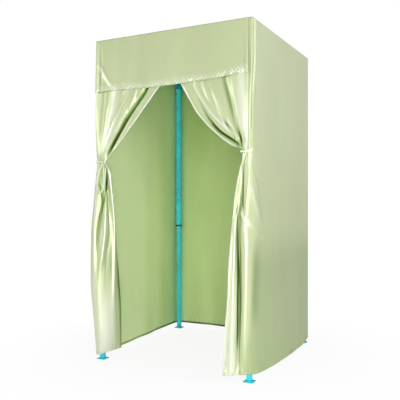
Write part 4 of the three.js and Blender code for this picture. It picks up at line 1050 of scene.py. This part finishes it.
class FittingRoomValance(bpy.types.Operator):
    """The flap over the doorway"""
    bl_idname = "fitting_room.valance"
    bl_label = "Valance"

    COLUMNS = 430
    FINE_FROM = 0.86
    FULL_SHADE = 0.006
    # Gathers over the lower hem: slant, seed, pitch, middle and reach above the edge
    GATHERS = ((0.9, 31, 0.013, 0.022, 0.016), (-0.7, 33, 0.014, 0.012, 0.009))

    def execute(self, context):
        across = edge_columns(self.COLUMNS)
        over = spaced(12, 1, 0)[:-1]
        share = np.concatenate([0 * over, spaced(40, 0, self.FINE_FROM)[:-1],
                                spaced(34, self.FINE_FROM, 1)])[:, None]
        turned = np.concatenate([over, np.zeros(len(share) - len(over))])[:, None]
        left, right = [end * COVER_WIDTH + (math.copysign(RETURN_INNER, end) - end * COVER_WIDTH) * turned
                       for end in VALANCE_ENDS]
        x = left + (right - left) * across[None, :]
        edge = smooth(VALANCE_EDGE, x / COVER_WIDTH) * COVER_HEIGHT
        z = TOP_MID + (edge - TOP_MID) * share
        wave = 0.0018 * np.sin(across * 14 * math.pi)[None, :] * share ** 6
        y = -CLOTH_MID + RETURN_RUN * turned - VALANCE_STAND * share ** VALANCE_SWELL - wave
        grid = np.stack([x, y, z], 2)
        fold = creased(grid, FOLDS_VALANCE) * (1 - turned)
        drop = z - z[-1:, :]
        along = x[-1:, :]
        gather = 0
        for slant, seed, pitch, middle, reach in self.GATHERS:
            gather = gather + (np.maximum(0, puckers(along + slant * drop, seed, pitch))
                               * bell(drop, middle, reach))
        patch = np.clip(1.4 + 0.6 * puckers(along, 37, 0.06), 0.8, 2)
        broken = np.clip(0.6 + 0.8 * puckers(along - 2.2 * drop, 39, 0.021), 0, 1.3)
        gather = gather * patch * broken
        grid[..., 1] -= fold + sizes().hem_pucker * gather + 0.0006 * ripple(x, z, 35, 0.3) * (1 - turned)
        # Painted highlight and shade from the fold heights, and painted glints on the gathers of the hem
        shade = np.clip(fold / self.FULL_SHADE + gather * 1.8 - 0.1, -1, 1)
        piece = cover_cloth("valance", grid, shade, False, "fl", TO_LEFT)
        return {"FINISHED"}


class FittingRoomRoof(bpy.types.Operator):
    """The roof, four triangles that meet in the middle"""
    bl_idname = "fitting_room.roof"
    bl_label = "Roof"

    RINGS = 26
    EDGE_GAP = 0.0003
    SEAM_GAP = 0.0004
    SQUEEZE = {"back": TO_LEFT, "right": TO_BACK, "front": TO_LEFT, "left": TO_BACK}

    def execute(self, context):
        for turns, side in enumerate(SIDES):
            piece = self.add_triangle(side, turns)
            dress(piece, f"roof_{side}", "cover_satin", [f"roof_{side}"], *self.SQUEEZE[side])
        return {"FINISHED"}

    def add_triangle(self, side, turns):
        """A fan of rings from the roof's middle to its edge."""
        reach = HALF - RETURN_DEPTH - self.EDGE_GAP
        points, faces = [(0.0, 0.0005, 0.0)], []
        for ring in range(1, self.RINGS + 1):
            share = ring / self.RINGS
            for step in range(ring + 1):
                points.append(((2 * step / ring - 1) * share * (reach - self.SEAM_GAP), share * reach, 0.0))
        start = [0]
        for ring in range(1, self.RINGS + 1):
            start.append(start[-1] + ring)
        for ring in range(1, self.RINGS + 1):
            above, below = start[ring - 1], start[ring]
            for step in range(ring):
                faces.append((above + step, below + step, below + step + 1))
                if step < ring - 1:
                    faces.append((above + step, below + step + 1, above + step + 1))
        place = np.array(points)
        sag = sizes().roof_sag * (1 - np.minimum(1, np.abs(place[:, 1]) / reach) ** 1.6)
        slack = 0.0008 * ripple(place[:, 0], place[:, 1], 41 + turns, 0.25)
        place[:, 2] = TOP_MID - sag + slack * within(1 - np.abs(place[:, 1]) / reach) * 1.5
        place = place @ np.array(Matrix.Rotation(-turns * math.pi / 2, 3, "Z")).T
        piece = bare_piece(f"roof_{side}_cloth", place, faces)
        mesh = piece.data
        for key, value in (("fold", 0.0), ("inner_painted_shading", 0.0), ("from_edge", 1.0), ("along_edge", 1.0)):
            keep_field(mesh, key, np.full(len(place), value))
        mesh.materials.append(finish_for("cover_satin"))
        mesh.materials.append(finish_for("cover_inside"))
        focus(piece)
        bpy.ops.object.mode_set(mode="EDIT")
        bpy.ops.mesh.select_all(action="SELECT")
        bpy.ops.mesh.normals_make_consistent(inside=False)
        bpy.ops.object.mode_set(mode="OBJECT")
        if mesh.polygons[0].normal.z < 0:
            mesh.flip_normals()
        apply_modifier(piece, "SOLIDIFY", thickness=sizes().cloth, offset=0.0, material_offset=1)
        smooth_shading(piece)
        return piece


RIBBON_SHADE = 0.3


def ribbon(name, path, width, thickness, widths, tilt=None):
    """A flat ribbon that follows a path and stands on edge, with its face turned out from the path."""
    path = np.asarray(path, float)
    tangent = np.gradient(path, axis=0)
    tangent /= np.linalg.norm(tangent, axis=1)[:, None]
    up = np.tile(np.array([0.0, 0.0, 1.0]), (len(path), 1)) if tilt is None else np.asarray(tilt, float)
    up = up - (up * tangent).sum(1)[:, None] * tangent
    up /= np.linalg.norm(up, axis=1)[:, None]
    scale = np.asarray(widths, float)
    lanes = spaced(9, -0.5, 0.5)
    face = np.cross(tangent, up)
    bow = (0.25 - lanes ** 2) * 0.06 * width
    grid = (path[:, None, :] + up[:, None, :] * (lanes[None, :] * width * scale[:, None])[..., None]
            + face[:, None, :] * bow[None, :, None])
    return new_cloth(name, grid, np.full(grid.shape[:2], RIBBON_SHADE), "tie_satin", "tie_satin", thickness,
                     False)


def smooth_path(points, count):
    """A smooth open curve through points, by the length between them."""
    points = np.asarray(points, float)
    steps = np.linalg.norm(np.diff(points, axis=0), axis=1)
    place = np.concatenate([[0], np.cumsum(steps)])
    at = spaced(count, 0, place[-1])
    return np.stack([smooth(np.column_stack([place, column]), at) for column in points.T], 1)


class FittingRoomTies(bpy.types.Operator):
    """The two tie ribbons with their knots, hanging loop and short end"""
    bl_idname = "fitting_room.ties"
    bl_label = "Ties"

    THICK = 0.0011
    BAND = 0.0125
    CORD = {"left": 0.0155, "right": 0.0105}
    BAND_LENGTH = {"left": 0.14, "right": 0.15}
    FREE_LENGTH = {"left": 0.4, "right": 0.05}
    SQUEEZE = {"left": TO_LEFT, "right": TO_RIGHT}
    KNOT = 0.0062
    LEFT_RING = [(-0.494, -0.4885), (-0.4966, -0.502), (-0.492, -0.5105), (-0.476, -0.5145),
                 (-0.456, -0.5135), (-0.44, -0.5105), (-0.4295, -0.5045), (-0.4275, -0.4975),
                 (-0.433, -0.4925), (-0.45, -0.4907), (-0.47, -0.4903)]
    RIGHT_RING = [(0.5005, -0.475), (0.4985, -0.5), (0.49, -0.5075), (0.48, -0.5105), (0.465, -0.513),
                  (0.45, -0.514), (0.439, -0.511), (0.4345, -0.5035), (0.4375, -0.4965), (0.446, -0.4936),
                  (0.458, -0.4926)]
    LOOP = [(-0.4367, -0.5185, 1.1732), (-0.4475, -0.52, 1.1515), (-0.4625, -0.523, 1.1162),
            (-0.4732, -0.526, 1.0778), (-0.4762, -0.5275, 1.0452), (-0.4706, -0.528, 1.0156),
            (-0.456, -0.5278, 0.9966), (-0.4422, -0.5268, 1.0), (-0.4323, -0.5255, 1.0241),
            (-0.4283, -0.524, 1.0595), (-0.4287, -0.5215, 1.0979), (-0.432, -0.519, 1.1334),
            (-0.4355, -0.5172, 1.1661)]
    TAIL = [(0.466, -0.5165, 1.2025), (0.4745, -0.5150, 1.2060), (0.4845, -0.5125, 1.2103),
            (0.4945, -0.5070, 1.2122), (0.5020, -0.4985, 1.2120), (0.5052, -0.4880, 1.2106)]

    def execute(self, context):
        self.add_tie("left", "fl", self.LEFT_RING, (-0.439, -0.5135), 0.6195 * COVER_HEIGHT)
        self.add_tie("right", "fr", self.RIGHT_RING, (0.461, -0.5145), 0.634 * COVER_HEIGHT)
        return {"FINISHED"}

    def add_tie(self, side, leg, ring, knot, height):
        plan = smooth_path(ring, 90)
        path = np.column_stack([plan, np.full(len(plan), height)])
        path[:, 2] += 0.0015 * np.sin(spaced(90, 0, 9))
        narrow = 1 - 0.35 * bell(plan[:, 0], knot[0], 0.01)
        band = ribbon(f"tie_{side}_ribbon", path, self.BAND, self.THICK, narrow)
        knot_piece = self.add_knot(f"tie_{side}_knot", (knot[0], knot[1], height))
        if side == "left":
            loop = smooth_path(self.LOOP, 80)
            across = np.cross(np.gradient(loop, axis=0), (0, -1, 0.05))
            widths = 1 - 0.55 * np.cos(spaced(80, 0, 2 * math.pi)).clip(0) ** 2
            free = ribbon("tie_left_loop", loop, self.CORD[side], self.THICK, widths, across)
        else:
            tail = smooth_path(self.TAIL, 24)
            free = ribbon("tie_right_tail", tail, self.CORD[side], self.THICK, spaced(24, 1, 0.5))
        for piece in (band, knot_piece, free):
            nodes = [f"tie_{side}"] if piece is band else []
            dress(piece, POSTS[leg], "tie_satin", nodes, *self.SQUEEZE[side])

    def add_knot(self, name, place):
        """Two soft turns of ribbon over a small core."""
        deselect()
        bpy.ops.mesh.primitive_uv_sphere_add(segments=28, ring_count=18, radius=self.KNOT, location=place)
        piece = bpy.context.object
        piece.name = name
        co = np.empty(len(piece.data.vertices) * 3)
        piece.data.vertices.foreach_get("co", co)
        co = co.reshape(-1, 3)
        turn = np.arctan2(co[:, 2], co[:, 0])
        squeeze = 1 + 0.16 * np.sin(2 * turn + 0.6) + 0.07 * np.sin(7 * co[:, 0] / self.KNOT + 3 * turn)
        co *= squeeze[:, None] * np.array([1.15, 0.62, 0.95])
        piece.data.vertices.foreach_set("co", co.ravel())
        focus(piece)
        bpy.ops.object.transform_apply(location=True, rotation=True, scale=True)
        mesh = piece.data
        for key, value in (("fold", RIBBON_SHADE), ("from_edge", 1.0), ("along_edge", 0.0)):
            keep_field(mesh, key, np.full(len(mesh.vertices), value))
        mesh.materials.append(finish_for("tie_satin"))
        smooth_shading(piece)
        return piece


def bare_and_shaded_inside(piece, axis):
    """Gives the walls inside a tube, which the powder doesn't reach, their own finish: bare steel, painted
    near black as painted shade for the tube's bore.
    """
    piece.data.materials.append(finish_for("bare_steel_and_shade"))
    for face in piece.data.polygons:
        inwards = Vector((axis[0] - face.center.x, axis[1] - face.center.y, 0))
        if inwards.length and face.normal.dot(inwards.normalized()) > 0.7:
            face.material_index = 1


ROUNDED_FROM = 40
SMOOTH_BELOW = 35


def softened(node, slot, round_width):
    """A finer copy of a hard part: its triangles joined to flat faces and its edges rounded."""
    source = frame["nodes"][node]
    piece = source.copy()
    piece.data = source.data.copy()
    piece.name = piece.data.name = node + "_fine"
    piece.parent = None
    piece.matrix_world = Matrix.Identity(4)
    bpy.context.collection.objects.link(piece)
    piece.hide_render = False
    piece.data.materials.clear()
    piece.data.materials.append(finish_for(slot))
    focus(piece)
    bpy.ops.object.mode_set(mode="EDIT")
    bpy.ops.mesh.select_all(action="SELECT")
    bpy.ops.mesh.customdata_custom_splitnormals_clear()
    bpy.ops.mesh.remove_doubles(threshold=0.00002)
    bpy.ops.mesh.dissolve_limited(angle_limit=math.radians(1.0))
    bpy.ops.mesh.select_all(action="SELECT")
    bpy.ops.mesh.vert_connect_concave()
    bpy.ops.object.mode_set(mode="OBJECT")
    apply_modifier(piece, "BEVEL", width=round_width, segments=2, limit_method="ANGLE",
                   angle_limit=math.radians(ROUNDED_FROM), use_clamp_overlap=True, loop_slide=False)
    smooth_shading(piece, SMOOTH_BELOW)
    return piece


class FittingRoomFrame(bpy.types.Operator):
    """Tubes, feet, brackets, sliders, bars and spring buttons with rounded edges"""
    bl_idname = "fitting_room.frame"
    bl_label = "Frame"

    # Each part of a leg, its slot and its share of the edge rounding
    PARTS = (("outer", "frame_paint", 0.37), ("inner", "frame_paint", 0.37), ("foot", "foot_paint", 0.8),
             ("bush", "guide_plastic", 0.3), ("bracket", "joint_plastic", 0.8),
             ("slider", "joint_plastic", 0.8), ("snap", "spring_steel", 0.25),
             ("catch", "spring_steel", 0.25))

    def execute(self, context):
        bodies = frame["record"]["behaviour"]["bodies"]
        owners = {node: body for body, nodes in bodies.items() for node in nodes}
        for leg in LEGS:
            for part, slot, share in self.PARTS:
                node = f"leg_{leg}_{part}"
                piece = softened(node, slot, sizes().edge_round * share)
                if part in ("outer", "inner"):
                    low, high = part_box(node)
                    bare_and_shaded_inside(piece, ((low[0] + high[0]) / 2, (low[1] + high[1]) / 2))
                dress(piece, owners[node], slot, [node])
        for side in SIDES:
            for bar in BARS:
                node = f"bar_{side}_{bar}"
                piece = softened(node, "frame_paint", sizes().edge_round / 3)
                dress(piece, owners[node], "frame_paint", [node])
        return {"FINISHED"}


class FittingRoomPanel(bpy.types.Panel):
    """Sizes, colours and the steps that dress the fitting room"""
    bl_idname = "VIEW3D_PT_fitting_room"
    bl_label = "Fitting Room"
    bl_space_type = "VIEW_3D"
    bl_region_type = "UI"
    bl_category = "Fitting Room"

    def draw(self, context):
        layout = self.layout
        for group in (context.scene.fitting_room_sizes, context.scene.fitting_room_colours):
            for key in group.bl_rna.properties.keys():
                if key not in ("rna_type", "name"):
                    layout.prop(group, key)
        for step in STEPS:
            layout.operator(step.bl_idname)


STEPS = (FittingRoomStage, FittingRoomCurtains, FittingRoomWalls, FittingRoomValance, FittingRoomRoof,
         FittingRoomTies, FittingRoomFrame)
CLASSES = (FittingRoomSizes, FittingRoomColours) + STEPS + (FittingRoomPanel,)


def register():
    for item in CLASSES:
        bpy.utils.register_class(item)
    bpy.types.Scene.fitting_room_sizes = bpy.props.PointerProperty(type=FittingRoomSizes)
    bpy.types.Scene.fitting_room_colours = bpy.props.PointerProperty(type=FittingRoomColours)


def unregister():
    del bpy.types.Scene.fitting_room_colours
    del bpy.types.Scene.fitting_room_sizes
    for item in reversed(CLASSES):
        bpy.utils.unregister_class(item)


def main():
    register()
    bpy.ops.fitting_room.stage()
    bpy.ops.fitting_room.curtains()
    bpy.ops.fitting_room.walls()
    bpy.ops.fitting_room.valance()
    bpy.ops.fitting_room.roof()
    bpy.ops.fitting_room.ties()
    bpy.ops.fitting_room.frame()


if __name__ == "__main__":
    main()
